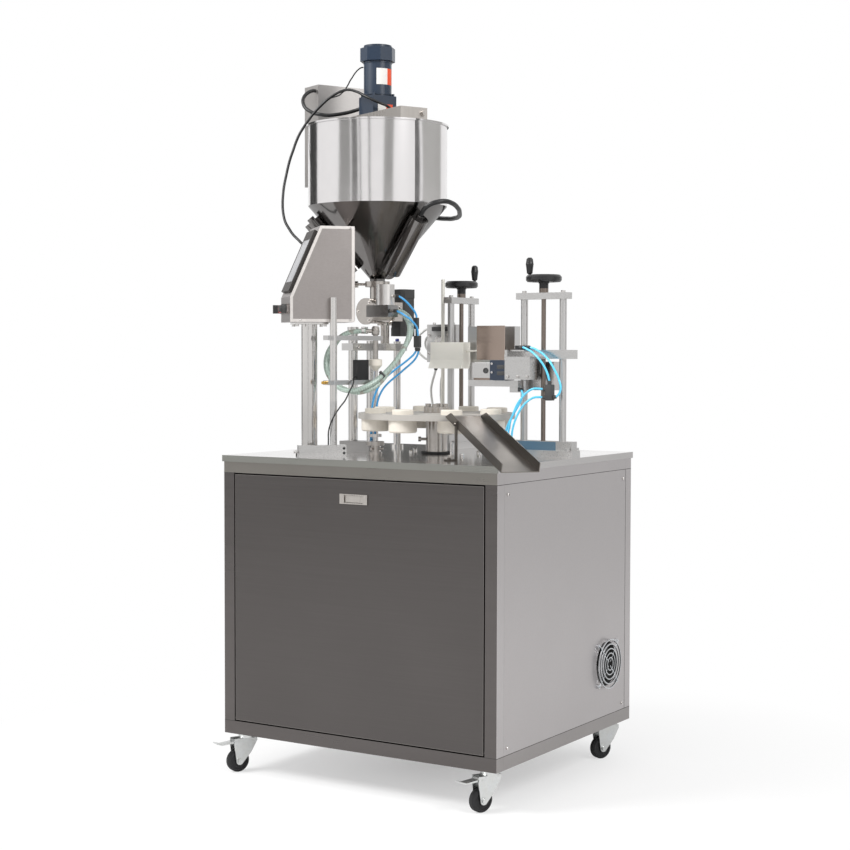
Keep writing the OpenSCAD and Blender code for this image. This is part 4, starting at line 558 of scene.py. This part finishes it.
class Shape:
    """A mesh under construction; its outlines are millimetres about a place in the machine."""

    def __init__(self):
        self.bm = bmesh.new()

    def _take(self, part, place):
        bmesh.ops.remove_doubles(part, verts=part.verts, dist=1e-4)
        bmesh.ops.recalc_face_normals(part, faces=part.faces)
        bmesh.ops.transform(part, matrix=place @ Matrix.Scale(MM, 4), verts=part.verts)
        mesh = bpy.data.meshes.new("part")
        part.to_mesh(mesh)
        part.free()
        self.bm.from_mesh(mesh)
        bpy.data.meshes.remove(mesh)

    def turned(self, profile, place, steps=24, angle=math.tau):
        """Spins an outline of radius and height about the place's Z axis."""
        part = bmesh.new()
        verts = [part.verts.new((r, 0, z)) for r, z in profile]
        edges = [part.edges.new(pair) for pair in zip(verts, verts[1:])]
        bmesh.ops.spin(
            part,
            geom=verts + edges,
            cent=(0, 0, 0),
            axis=(0, 0, 1),
            angle=angle,
            steps=steps,
            use_merge=angle == math.tau,
        )
        self._take(part, place)

    def slab(self, low, high, place, edge=0.6):
        """A box between two corners with eased edges."""
        part = bmesh.new()
        bmesh.ops.create_cube(part, size=1.0)
        low, high = Vector(low), Vector(high)
        bmesh.ops.scale(part, vec=high - low, verts=part.verts)
        bmesh.ops.translate(part, vec=(low + high) / 2, verts=part.verts)
        bmesh.ops.bevel(
            part,
            geom=part.edges[:],
            offset=edge,
            segments=2,
            profile=0.5,
            affect="EDGES",
            material=-1,
        )
        self._take(part, place)

    def plate(self, outline, thick, place, border=0.0):
        """A plate over an outline, or only its border, raised along the place's Z axis."""
        part = bmesh.new()
        face = part.faces.new([part.verts.new((x, y, 0)) for x, y in outline])
        part.normal_update()
        if border:
            bmesh.ops.inset_region(
                part, faces=[face], thickness=border, use_boundary=True, use_even_offset=True
            )
            bmesh.ops.delete(part, geom=[face], context="FACES_ONLY")
        raised = bmesh.ops.extrude_face_region(part, geom=part.faces[:])
        lifted = [v for v in raised["geom"] if isinstance(v, bmesh.types.BMVert)]
        bmesh.ops.translate(part, vec=(0, 0, thick), verts=lifted)
        self._take(part, place)

    def screw(self, head_d, head_h, place, steps=24):
        """A socket head, from the bottom of its socket to its foot."""
        r = head_d / 2
        socket = [(0, head_h * 0.45), (r * 0.5, head_h * 0.45), (r * 0.55, head_h)]
        rim = [(r * 0.9, head_h), (r, head_h * 0.85), (r, 0), (0, 0)]
        self.turned(socket + rim, place, steps)

    def piece(self, name, material, body):
        """Ends the mesh as a piece that rides on a body."""
        obj = meshed(name, self.bm, material)
        obj.data.shade_smooth()
        obj.data.set_sharp_from_angle(angle=SHARP_ANGLE)
        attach(obj, body)

    def black(self, name, body):
        """Ends the mesh as a piece of black plastic."""
        self.piece(name, black_plastic(), body)

    def bright(self, name, body):
        """Ends the mesh as a piece of bright steel."""
        self.piece(name, ground_bar(), body)


def tones():
    return bpy.context.scene.machine_tones


def finish(name, maker, *values, **more):
    """A finish by name, made the first time it is asked for."""
    return bpy.data.materials.get(name) or maker(name, *values, **more)


def metal(name, colour, *values, **more):
    """A brushed finish of a tone."""
    return finish(name, brushed, linear(colour), *values, **more)


def plastic(name, colour, *values, **more):
    """A moulded finish of a tone."""
    return finish(name, moulded, linear(colour), *values, **more)


def ground_bar():
    return metal("ground_bar", tones().bar, 0.16, (220, 220, 4), depth=0.04)


def black_plastic():
    return plastic("black_plastic", tones().black)


class FILLER_OT_stage(Operator):
    """Sets up the camera, the plain sky, two soft lamps, the floor and dark cards"""

    bl_idname = "filler.stage"
    bl_label = "Studio"

    def execute(self, context):
        studio = context.scene.machine_studio
        scene = context.scene
        scene.view_settings.view_transform = "Standard"
        lens = bpy.data.cameras.new("camera")
        lens.lens = studio.lens
        lens.sensor_width = 36
        lens.clip_end = 200
        camera = linked("camera", lens)
        pitch, roll, turn = studio.camera_turn
        camera.matrix_world = (
            Matrix.Translation(TABLE_TOP + Vector(studio.camera_place))
            @ Matrix.Rotation(turn, 4, "Z")
            @ Matrix.Rotation(math.pi / 2 + pitch, 4, "X")
            @ Matrix.Rotation(roll, 4, "Z")
        )
        scene.camera = camera
        self.sky(scene, studio.sky)
        self.floor(studio)
        self.cards(studio)
        self.lamp("key", studio.key, KEY_PLACE, KEY_SIZE)
        self.lamp("fill", studio.fill, FILL_PLACE, FILL_SIZE)
        return {"FINISHED"}

    def sky(self, scene, level):
        """A white background to look at and to reflect, and a lower level to light by."""
        world = Finish("studio", "worlds")
        camera, glossy, through = (
            world.make("LightPath", out=f"Is {kind} Ray")
            for kind in ("Camera", "Glossy", "Transmission")
        )
        seen = camera.most(glossy).most(through)
        strength = world.make("MapRange", {"Value": seen, "To Min": level, "To Max": 1.0})
        sky = world.make("Background", {"Color": WHITE, "Strength": strength})
        scene.world = world.end(sky, "OutputWorld")

    def floor(self, studio):
        """A pale floor that keeps a soft shadow and is white away from it."""
        f = Finish("studio_floor")
        grain = f.noise(3.0, 2.0)
        pale = linear(tones().floor)
        base = f.mix(grain * 0.3, pale, shade(pale, 0.985))
        seen = f.make("LightPath", out="Is Camera Ray")
        away = f.make("VectorMath", {0: f.place()}, out="Value", operation="LENGTH")
        clear = (0.6 + (away - 0.55) * 0.42).least(1.0)
        lit = f.make("BsdfDiffuse", {"Color": base})
        white = f.make("Emission", {"Color": WHITE, "Strength": 1.0})
        f.end(f.make("MixShader", {0: seen * clear, 1: lit, 2: white}))
        bm = bmesh.new()
        bmesh.ops.create_grid(bm, x_segments=1, y_segments=1, size=studio.floor_size)
        meshed("floor", bm, f.material)

    def cards(self, studio):
        """Dark cards that only the polished steel sees."""
        top = studio.card_high
        foot, low = studio.card_foot, studio.card_low
        for turn, wide, bottom, level in (
            (-100, 3.2, foot, 0.04),
            (-23, 2.0, low, 0.36),
            (-6, 1.1, low, 0.16),
            (4, 0.22, foot, 0.05),
            (20, 0.26, foot, 0.08),
            (50, 1.6, low, 0.42),
            (102, 0.9, foot, 0.10),
            (137, 5.5, low, 0.60),
            (-150, 1.2, foot, 0.12),
        ):
            f = Finish("dark_card")
            weave = f.noise(6.0, 2.0)
            grey = (level, level, level * 0.97, 1)
            f.close(f.mix(weave * 0.4, shade(grey, 0.8), grey), 0.9)
            bm = bmesh.new()
            bmesh.ops.create_grid(bm, x_segments=1, y_segments=1, size=0.5)
            bmesh.ops.scale(bm, vec=(wide, top - bottom, 1), verts=bm.verts)
            place = (
                Matrix.Rotation(math.radians(turn), 4, "Z")
                @ Matrix.Translation((0, -studio.card_distance, (bottom + top) / 2))
                @ Matrix.Rotation(math.pi / 2, 4, "X")
            )
            bmesh.ops.transform(bm, matrix=place, verts=bm.verts)
            card = meshed("card", bm, f.material)
            card.visible_camera = False
            card.visible_diffuse = False
            card.visible_shadow = False

    def lamp(self, name, watts, offset, size):
        data = bpy.data.lights.new(name, "AREA")
        data.energy = watts
        data.shape = "DISK"
        data.size = size
        lamp = linked(name, data)
        lamp.location = TABLE_TOP + Vector(offset)
        aim = TABLE_TOP - lamp.location
        lamp.rotation_euler = aim.to_track_quat("-Z", "Y").to_euler()


class FILLER_OT_cords(Operator):
    """Makes the hoses, air tubes and cables along their routes"""

    bl_idname = "filler.cords"
    bl_label = "Cords"

    def execute(self, context):
        t = tones()
        hose = finish("braided_hose", braided, linear(t.hose), linear(t.stripe))
        blue = finish("blue_tube", tube, linear(t.blue))
        cyan = finish("cyan_tube", tube, linear(t.cyan))
        pale = finish("pale_tube", tube, linear(t.pale_tube))
        sheath = plastic("cable_sheath", t.black, 0.42, 700.0)
        groups = (
            ("product_hose", PRODUCT_HOSES, hose, "cabinet", "product_hoses", "hose"),
            ("fill_air", FILL_AIR, blue, "cabinet", "fill_air_tubes", "blue_tube"),
            ("seal_air", SEAL_AIR, pale, "seal_lift", "seal_air_tubes", "white_tube"),
            ("trim_air", TRIM_AIR, cyan, "trim_lift", "trim_air_tubes", "cyan_tube"),
            ("cable", CABLES, sheath, "cabinet", "cables", "cable"),
        )
        for name, routes, material, body, node, slot in groups:
            for index, (diameter, *route) in enumerate(routes):
                points = [on_table(*point) for point in route]
                cord = self.strand(f"{name}_{index + 1}", points, diameter, material)
                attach(cord, body)
                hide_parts(node)
        return {"FINISHED"}

    def strand(self, name, points, diameter, material):
        data = bpy.data.curves.new(name, "CURVE")
        data.dimensions = "3D"
        data.bevel_depth = diameter / 2 * MM
        data.bevel_resolution = 4
        data.resolution_u = 6
        data.use_fill_caps = True
        data.materials.append(material)
        spline = data.splines.new("BEZIER")
        spline.bezier_points.add(len(points) - 1)
        for knot, point in zip(spline.bezier_points, points):
            knot.co = point
            knot.handle_left_type = knot.handle_right_type = "AUTO"
        strand = linked(name, data)
        bpy.context.view_layer.update()
        return strand


class FILLER_OT_finishes(Operator):
    """Gives every solid of the machine its finish"""

    bl_idname = "filler.finishes"
    bl_label = "Finishes"

    def execute(self, context):
        looks = self.looks(tones())
        for name, node in NODES.items():
            key = max((key for key in looks if name.startswith(key)), key=len)
            node.data.materials.clear()
            node.data.materials.append(looks[key])
        return {"FINISHED"}

    def looks(self, t):
        """Finishes by the first words of a node's name, of which the longest fit counts."""
        moulding = (t.black, 0.45, 0.0)
        # The first zone is the skirt under the table; the others are painted light, giving the
        # side faces of the posts and rails the lighter tones of the side panels and rails.
        skirt_and_painted_light_zones = [patch((0, 0, -32), (600, 500, 16.6), t.skirt, 0.3)]
        for z, half_z, colour in ((-400, 500, t.side), (RAIL_LOW - 18.5, 18.6, t.rail)):
            for x in (FRAME_X, -FRAME_X):
                skirt_and_painted_light_zones.append(patch((x, 0, z), (0.5, 500, half_z), colour, 0.34))
        table_edge = patch((0, -400, -9), (460, 1.0, 9.4), t.edge, 0.3)
        base_ring = patch((TURN_X, TURN_Y, 3), (50, 50, 3.4), *moulding)
        disc_zones = [
            patch((TURN_X, TURN_Y, 134), (40, 40, 15.8), t.steel, 0.25),
            patch((TURN_X, TURN_Y, 0), (34, 34, 101), t.bar, 0.2),
        ]
        pump_zones = [
            patch((-150, -17, 459), (29, 29, 30.5), t.bar, 0.34),
            patch((-164, -13, PUMP_Z), (38.5, 26.5, 17.2), t.dark_block, 0.25),
        ]
        fill_zones = [
            patch((-230, -33, 15), (54, 28, 16.2), t.dark_block, 0.35),
            patch((-250, 90, CROSSHEAD_Z), (50, 160, 10.8), t.machined, 0.3),
        ]
        nozzle_tip = patch((-110.3, -127.3, 250), (24, 24, 22), t.ivory, 0.45, 0.0)
        sensor_zones = [
            patch((-124.9, -179.9, 241.7), (22, 11, 29), *moulding, ARM_TURN),
            patch((ROD_X, ROD_Y, 300), (10.2, 10.2, 146), t.bar, 0.16),
            patch((-160.8, -309.6, 206.5), (6.3, 5, 5), t.brass, 0.25, 1.0, ARM_TURN),
        ]
        seal_zones = [
            patch((110, 149.3, 320), (47, 4, 52), t.copper, 0.12),
            patch((-189, 300, 317), (8, 30, 60), *moulding),
        ]
        trim_zones = [
            patch((233, 0, 242), (25.2, 27, 29), t.blue_block, 0.25),
            patch((290, -5, 305.2), (24, 12, 6), *moulding),
        ]
        film = patch((325, 13, 32), (72, 0.6, 12), t.film, 0.3, 0.8)
        lead_screws = patch((130, 160, 225), (600, 400, 245), t.bronze, 0.3)
        sheet = metal("brushed_sheet", t.steel, 0.3, UPWARD)
        handwheel = plastic("handwheel", t.black, 0.36, 700.0, 0.2, [lead_screws])
        # The darker tone under the cone's top is painted shade.
        hopper = (linear(t.polished), linear(t.cone), on_table(0, 0, CONE_TOP).z)
        looks = {
            # Painted shade on the door and the frame's front, painted light on the side panels and
            # the frame's side faces.
            "base_frame": metal("satin_frame", t.cabinet, 0.3, (4, 260, 60), skirt_and_painted_light_zones),
            "front_door": metal("satin_door", t.door, 0.36),
            "table_plate": metal("satin_table", t.plate, 0.15, ACROSS, [table_edge], 0.05),
            "side_panels": metal("satin_side", t.side, 0.36),
            "floor_pan": metal("pan_sheet", t.side, 0.4),
            "fan_guard": metal("guard_wire", t.zinc, 0.2),
            "caster_wheel": finish("tread", rubber, linear(t.tyre)),
            "index_drive": finish("drive_paint", painted, linear(t.drive)),
            "sensor_box": plastic("white_moulding", t.white, 0.45, 600.0, 0.1),
            "turntable_column": metal("column_steel", t.steel, 0.22, (260, 260, 5), [base_ring]),
            # The disc's darker tone is painted shade.
            "turntable_disc": plastic("disc_nylon", t.nylon, 0.42, 500.0, 0.0, disc_zones),
            "tube_cups": plastic("cup_nylon", t.ivory, 0.4, 500.0),
            "chute": metal("chute_sheet", t.chute, 0.34, (160, 160, 160)),
            "hmi_box": metal("panel_sheet", t.panel, 0.34),
            "hmi_screen": plastic("bezel", t.bezel, 0.45, gloss=0.1),
            "start_button": plastic("red_button", t.red, 0.25, 300.0, 0.6),
            "hopper": finish("polished_hopper", polished, *hopper),
            "stirrer_motor": finish("motor_enamel", painted, linear(t.motor)),
            "control_box": metal("box_sheet", t.box, 0.34),
            "dosing_pump": metal("pump_steel", t.steel, 0.2, (60, 60, 60), pump_zones),
            "fill_stand": metal("fill_stand_steel", t.bar, 0.2, (120, 120, 5), fill_zones),
            "fill_nozzle": metal("nozzle_steel", t.steel, 0.2, (120, 120, 6), [nozzle_tip]),
            "sensor_stand": metal("stand_steel", t.machined, 0.28, EVEN, sensor_zones, 0.03),
            "seal_jaw": metal("copper_jaw", t.copper, 0.2),
            "seal_carriage": metal("seal_block", t.machined, 0.3, EVEN, seal_zones),
            "trim_carriage": metal("trim_block", t.machined, 0.26, EVEN, trim_zones),
            "trim_stand": metal("trim_stand_steel", t.machined, 0.3, EVEN, [film], 0.03),
        }
        for material, names in (
            (ground_bar(), "lifter ejector hmi_post"),
            (black_plastic(), "fan mode_selector speed_knob servo_motor"),
            (black_plastic(), "product_hoses fill_air_tubes cables"),
            (sheet, "latch lift_guides hopper_bridge stirrer"),
            (metal("machined_block", t.machined, 0.3, EVEN, depth=0.03), "seal trim"),
            (finish("zinc_plate", plated, linear(t.zinc)), "caster brake"),
            (handwheel, "seal_screw trim_screw"),
        ):
            looks.update(dict.fromkeys(names.split(), material))
        return looks


class FILLER_OT_fittings(Operator):
    """Makes the hose clamps, push-in fittings and joiners at the ends of the cords"""

    bl_idname = "filler.fittings"
    bl_label = "Fittings"

    def execute(self, context):
        clamps = Shape()
        for diameter, *route in PRODUCT_HOSES:
            for end in BOTH_ENDS:
                self.hose_clamp(clamps, self.cord_end(route, end), diameter / 2)
        clamps.bright("hose_clamps", "cabinet")
        self.push_fits("fill_fittings", FILL_AIR, "cabinet", BOTH_ENDS[:1])
        self.push_fits("seal_fittings", SEAL_AIR, "seal_lift", BOTH_ENDS)
        self.push_fits("trim_fittings", TRIM_AIR, "trim_lift", BOTH_ENDS)
        joiners = Shape()
        for low, high in FILL_JOINERS:
            joiners.slab(low, high, HERE, 1.2)
        stub = [(0, 0), (3, 0), (3, 20), (0, 20)]
        joiners.turned(stub, seat(-81, 44, 340), 16)
        joiners.black("fill_joiners", "cabinet")
        block = Shape()
        block.slab(*TRIM_JOINER, HERE, 1.6)
        block.black("trim_joiner", "trim_lift")
        return {"FINISHED"}

    def cord_end(self, route, end):
        """The place at an end of a cord, with its Z axis into the cord."""
        point, inner = (Vector(route[index]) for index in end)
        return facing(seat(*point), inner - point)

    def hose_clamp(self, shape, place, r):
        """A worm band over the end of a hose."""
        band = [(r + 0.1, 3), (r + 1.0, 3), (r + 1.0, 12), (r + 0.1, 12), (r + 0.1, 3)]
        shape.turned(band, place, 32)
        shape.slab((-5, r + 0.4, 2.5), (5, r + 5.5, 12.5), place, 0.8)

    def push_fits(self, name, routes, body, ends):
        """A collar and release ring round the ends of air tubes that stand above the table."""
        shape = Shape()
        for diameter, *route in routes:
            r = diameter / 2
            collar = [(r + 0.1, 0), (r + 2.4, 0), (r + 2.4, 7), (r + 1.6, 8)]
            ring = [(r + 1.3, 8), (r + 1.3, 10.5), (r + 0.1, 10.5), (r + 0.1, 0)]
            for end in ends:
                place = self.cord_end(route, end)
                if place.translation.z > TABLE_TOP.z:
                    shape.turned(collar + ring, place, 24)
        shape.black(name, body)


class FILLER_OT_panel(Operator):
    """Makes the ground seams, screen and screws of the operator panel"""

    bl_idname = "filler.panel"
    bl_label = "Operator panel"

    def execute(self, context):
        t = tones()
        front, back, half, low, top, lip, brow = PANEL_BOX
        outline = [(front, low), (back, low), (back, top), (brow, top), (front, lip)]
        seams = Shape()
        seams.plate(outline, 0.5, shifted(PANEL, y=-half) @ UPRIGHT, 8)
        seams.plate(outline, -0.5, shifted(PANEL, y=half) @ UPRIGHT, 8)
        ground = metal("ground_seam", t.seam, 0.4, SEAM_GRAIN)
        seams.piece("panel_seams", ground, "cabinet")
        rise, run = top - lip, brow - front
        slope = math.atan2(rise, run)
        slope_len = math.hypot(rise, run)
        face = shifted(PANEL, front, 0, lip) @ Matrix.Rotation(-slope, 4, "Y")
        screen = Shape()
        screen.slab((43.6, -49.4, 8.05), (slope_len - 43.6, 49.4, 8.7), face, 0.2)
        glass = plastic("screen", t.screen, 0.32, 60.0, gloss=0.1)
        screen.piece("panel_screen", glass, "cabinet")
        heads = Shape()
        for x in (front + 30, back - 12):
            for z in (low + 6, top - 6):
                if x < brow and z > lip:
                    continue
                for side in (-1, 1):
                    place = facing(shifted(PANEL, x, side * (half + 0.4), z), (0, side, 0))
                    heads.screw(6, 2.4, place, 16)
        heads.bright("panel_screws", "cabinet")
        return {"FINISHED"}


class FILLER_OT_motor(Operator):
    """Makes the blank labels and rims of the stirrer motor"""

    bl_idname = "filler.motor"
    bl_label = "Stirrer motor"

    def execute(self, context):
        t = tones()
        r = MOTOR_R
        sheet = [(r + 0.1, 30), (r + 0.4, 30), (r + 0.4, 77), (r + 0.1, 77), (r + 0.1, 30)]
        side = facing(shifted(HOPPER, 40.2, 0, 1003), ASIDE)
        for name, material, start, wrap, left, right in (
            ("motor_label", plastic("label_paper", t.label, 0.55, 400.0), -61, 48, -23.5, 5),
            ("motor_mark", plastic("label_red", t.mark, 0.5, 400.0), -13, 34, 5, 27),
        ):
            shape = Shape()
            place = seat(HOPPER_X, HOPPER_Y, MOTOR_Z, start)
            shape.turned(sheet, place, 12, math.radians(wrap))
            corners = [(left, -15), (right, -15), (right, 15), (left, 15)]
            shape.plate(corners, 0.3, side)
            shape.piece(name, material, "cabinet")
        ribs = Shape()
        for z in (1, 94):
            outer = [(r + 1.6, z + 0.6), (r + 1.6, z + 4)]
            ring = [(r - 0.5, z), *outer, (r - 0.5, z + 4.6), (r - 0.5, z)]
            ribs.turned(ring, seat(HOPPER_X, HOPPER_Y, MOTOR_Z), 48)
        enamel = finish("motor_enamel", painted, linear(t.motor))
        ribs.piece("motor_ribs", enamel, "cabinet")
        return {"FINISHED"}


class FILLER_OT_screws(Operator):
    """Sets socket heads into the covers, clamps, bars and panels"""

    bl_idname = "filler.screws"
    bl_label = "Screws"

    def execute(self, context):
        fixed = Shape()
        for turn in map(math.radians, (60, 180, 300)):
            x, z = PUMP_BOLTS_R * math.cos(turn), PUMP_Z - PUMP_BOLTS_R * math.sin(turn)
            fixed.screw(6.4, 3, facing(shifted(PUMP, x, PUMP_FACE, z), OUT))
        for side in (-GUIDE_HALF, GUIDE_HALF):
            fixed.screw(13, 6, seat(SEAL_X, SEAL_Y + side, GUIDE_TOP))
            fixed.screw(13, 6, seat(TRIM_X + side, TRIM_Y, GUIDE_TOP))
        for y in POSTS_Y:
            fixed.screw(9, 5, facing(seat(POST_X + 20, y, CROSSHEAD_Z), ASIDE))
        for x, y in TABLE_BOLTS:
            fixed.screw(13, 9, seat(x, y))
        for y in SIDE_SCREWS_Y:
            for z in SIDE_SCREWS_Z:
                fixed.screw(9, 3, facing(seat(FRAME_X + 0.2, y, z), ASIDE), 16)
        fixed.bright("fixed_screws", "cabinet")
        trim = Shape()
        for x in TRIM_SCREWS_X:
            trim.screw(8, 5, facing(seat(x, TRIM_FACE, TRIM_SCREWS_Z), OUT))
        for z in CUTTER_SCREWS_Z:
            trim.screw(7, 4, facing(seat(CUTTER_X, TRIM_FACE + 4, z), OUT))
        trim.bright("trim_screws", "trim_lift")
        seal = Shape()
        for x in SEAL_SCREWS_X:
            for z in SEAL_SCREWS_Z:
                seal.screw(8, 5, facing(seat(x, SEAL_FACE, z), OUT))
            seal.screw(10, 7, seat(x, SEAL_Y, SEAL_TOP))
        seal.bright("seal_screws", "seal_lift")
        return {"FINISHED"}


class FILLER_OT_details(Operator):
    """Makes the door's edge, the frame's gaps, the hose tie, a cap, windows and black screws"""

    bl_idname = "filler.details"
    bl_label = "Details"

    def execute(self, context):
        t = tones()
        self.edges(t)
        self.ties()
        cap = Shape()
        dome = [(0, 0), (6, 0), (6, 6), (4.6, 8.6), (0, 8.6)]
        cap.turned(dome, seat(POST_X, POSTS_Y[-1], POST_TOP))
        blue = plastic("blue_cap", t.cap, 0.35, 600.0)
        cap.piece("post_cap", blue, "cabinet")
        windows = Shape()
        for z in WINDOWS_Z:
            windows.slab((231.5, -26.6, z - 5.5), (255.5, -25.8, z + 5.5), HERE, 0.2)
        windows.black("trim_windows", "trim_lift")
        knob = Shape()
        bush = [(0, 0), (8, 0), (8, 2), (6.4, 3), (6.4, 1.2), (0, 1.2)]
        knob.turned(bush, facing(seat(194, -24, 240.6), OUT))
        knob.black("cutter_bush", "trim_cutter")
        rail = Shape()
        rail.slab((-161, SEAL_FACE - 6, 357), (-95, SEAL_FACE + 0.2, 370), HERE, 1.4)
        rail.black("seal_rail", "seal_lift")
        disc = Shape()
        dish = [(0, 1.2), (9, 1.2), (10, 2.4), (15, 2.4), (16, 1.6), (16, 0), (0, 0)]
        disc.turned(dish, facing(seat(-138, SEAL_FACE, 326.6), OUT), 40)
        disc.bright("seal_bearing", "seal_lift")
        return {"FINISHED"}

    def edges(self, t):
        """The folded edge of the door, in a lighter tone that is a painted highlight, and the
        shaded gaps of the frame.
        """
        # Painted highlight: a lighter 1 mm strip round the door's border.
        rim = Shape()
        sides = ((-1, DOOR_LOW), (1, DOOR_LOW), (1, DOOR_HIGH), (-1, DOOR_HIGH))
        corners = [(side * DOOR_HALF, z) for side, z in sides]
        rim.plate(corners, 0.3, seat(0, -FRAME_Y) @ UPRIGHT, 1.0)
        rim.piece("door_rim_painted_highlight", metal("door_edge", t.rim, 0.4, SEAM_GRAIN), "door")
        gaps = Shape()
        for side in (-1, 1):
            inner, outer = sorted((side * (FRAME_X - 0.1), side * (FRAME_X + 0.3)))
            left, right = sorted((side * (DOOR_HALF + 2), side * FRAME_X))
            for z in (RAIL_LOW, RAIL_HIGH):
                low, high = z - 0.7, z + 0.7
                gaps.slab((inner, -FRAME_Y, low), (outer, FRAME_Y, high), HERE, 0.1)
                front, behind = -FRAME_Y - 0.3, -FRAME_Y + 0.1
                gaps.slab((left, front, low), (right, behind, high), HERE, 0.1)
            gaps.slab((inner, 359.4, RAIL_LOW), (outer, 360.6, RAIL_HIGH), HERE, 0.1)
        shadow = plastic("gap_shadow", t.gap, 0.7)
        gaps.piece("frame_gaps", shadow, "cabinet")

    def ties(self):
        """A cable tie round a hose and the black screws of the sensor's base bar."""
        black = Shape()
        _, *route = PRODUCT_HOSES[0]
        start, end = (Vector(point) for point in route[TIE_AFTER : TIE_AFTER + 2])
        tie = facing(seat(*start.lerp(end, 0.5)), end - start)
        band = [(7.1, -3), (8.8, -3), (8.8, 3), (7.1, 3), (7.1, -3)]
        black.turned(band, tie, 32)
        black.slab((-3, 8.4, -3.6), (3, 14, 3.6), tie, 0.8)
        for z in (10, 23):
            black.screw(7.4, 4, facing(shifted(SENSOR_ROD, 27, -11, z), OUT))
        black.black("black_details", "cabinet")


OPERATORS = (
    FILLER_OT_stage,
    FILLER_OT_cords,
    FILLER_OT_finishes,
    FILLER_OT_fittings,
    FILLER_OT_panel,
    FILLER_OT_motor,
    FILLER_OT_screws,
    FILLER_OT_details,
)


class FILLER_PT_looks(Panel):
    """Lists the steps that dress the machine"""

    bl_idname = "FILLER_PT_looks"
    bl_label = "Tube filling machine"
    bl_space_type = "VIEW_3D"
    bl_region_type = "UI"
    bl_category = "Filler"

    def draw(self, context):
        for step in OPERATORS:
            self.layout.operator(step.bl_idname)


CLASSES = (MachineTones, MachineStudio, *OPERATORS, FILLER_PT_looks)


def register():
    for cls in CLASSES:
        bpy.utils.register_class(cls)
    bpy.types.Scene.machine_tones = PointerProperty(type=MachineTones)
    bpy.types.Scene.machine_studio = PointerProperty(type=MachineStudio)


def unregister():
    del bpy.types.Scene.machine_studio
    del bpy.types.Scene.machine_tones
    for cls in reversed(CLASSES):
        bpy.utils.unregister_class(cls)


def main():
    register()
    bpy.ops.filler.stage()
    bpy.ops.filler.cords()
    bpy.ops.filler.finishes()
    bpy.ops.filler.fittings()
    bpy.ops.filler.panel()
    bpy.ops.filler.motor()
    bpy.ops.filler.screws()
    bpy.ops.filler.details()


if __name__ == "__main__":
    main()
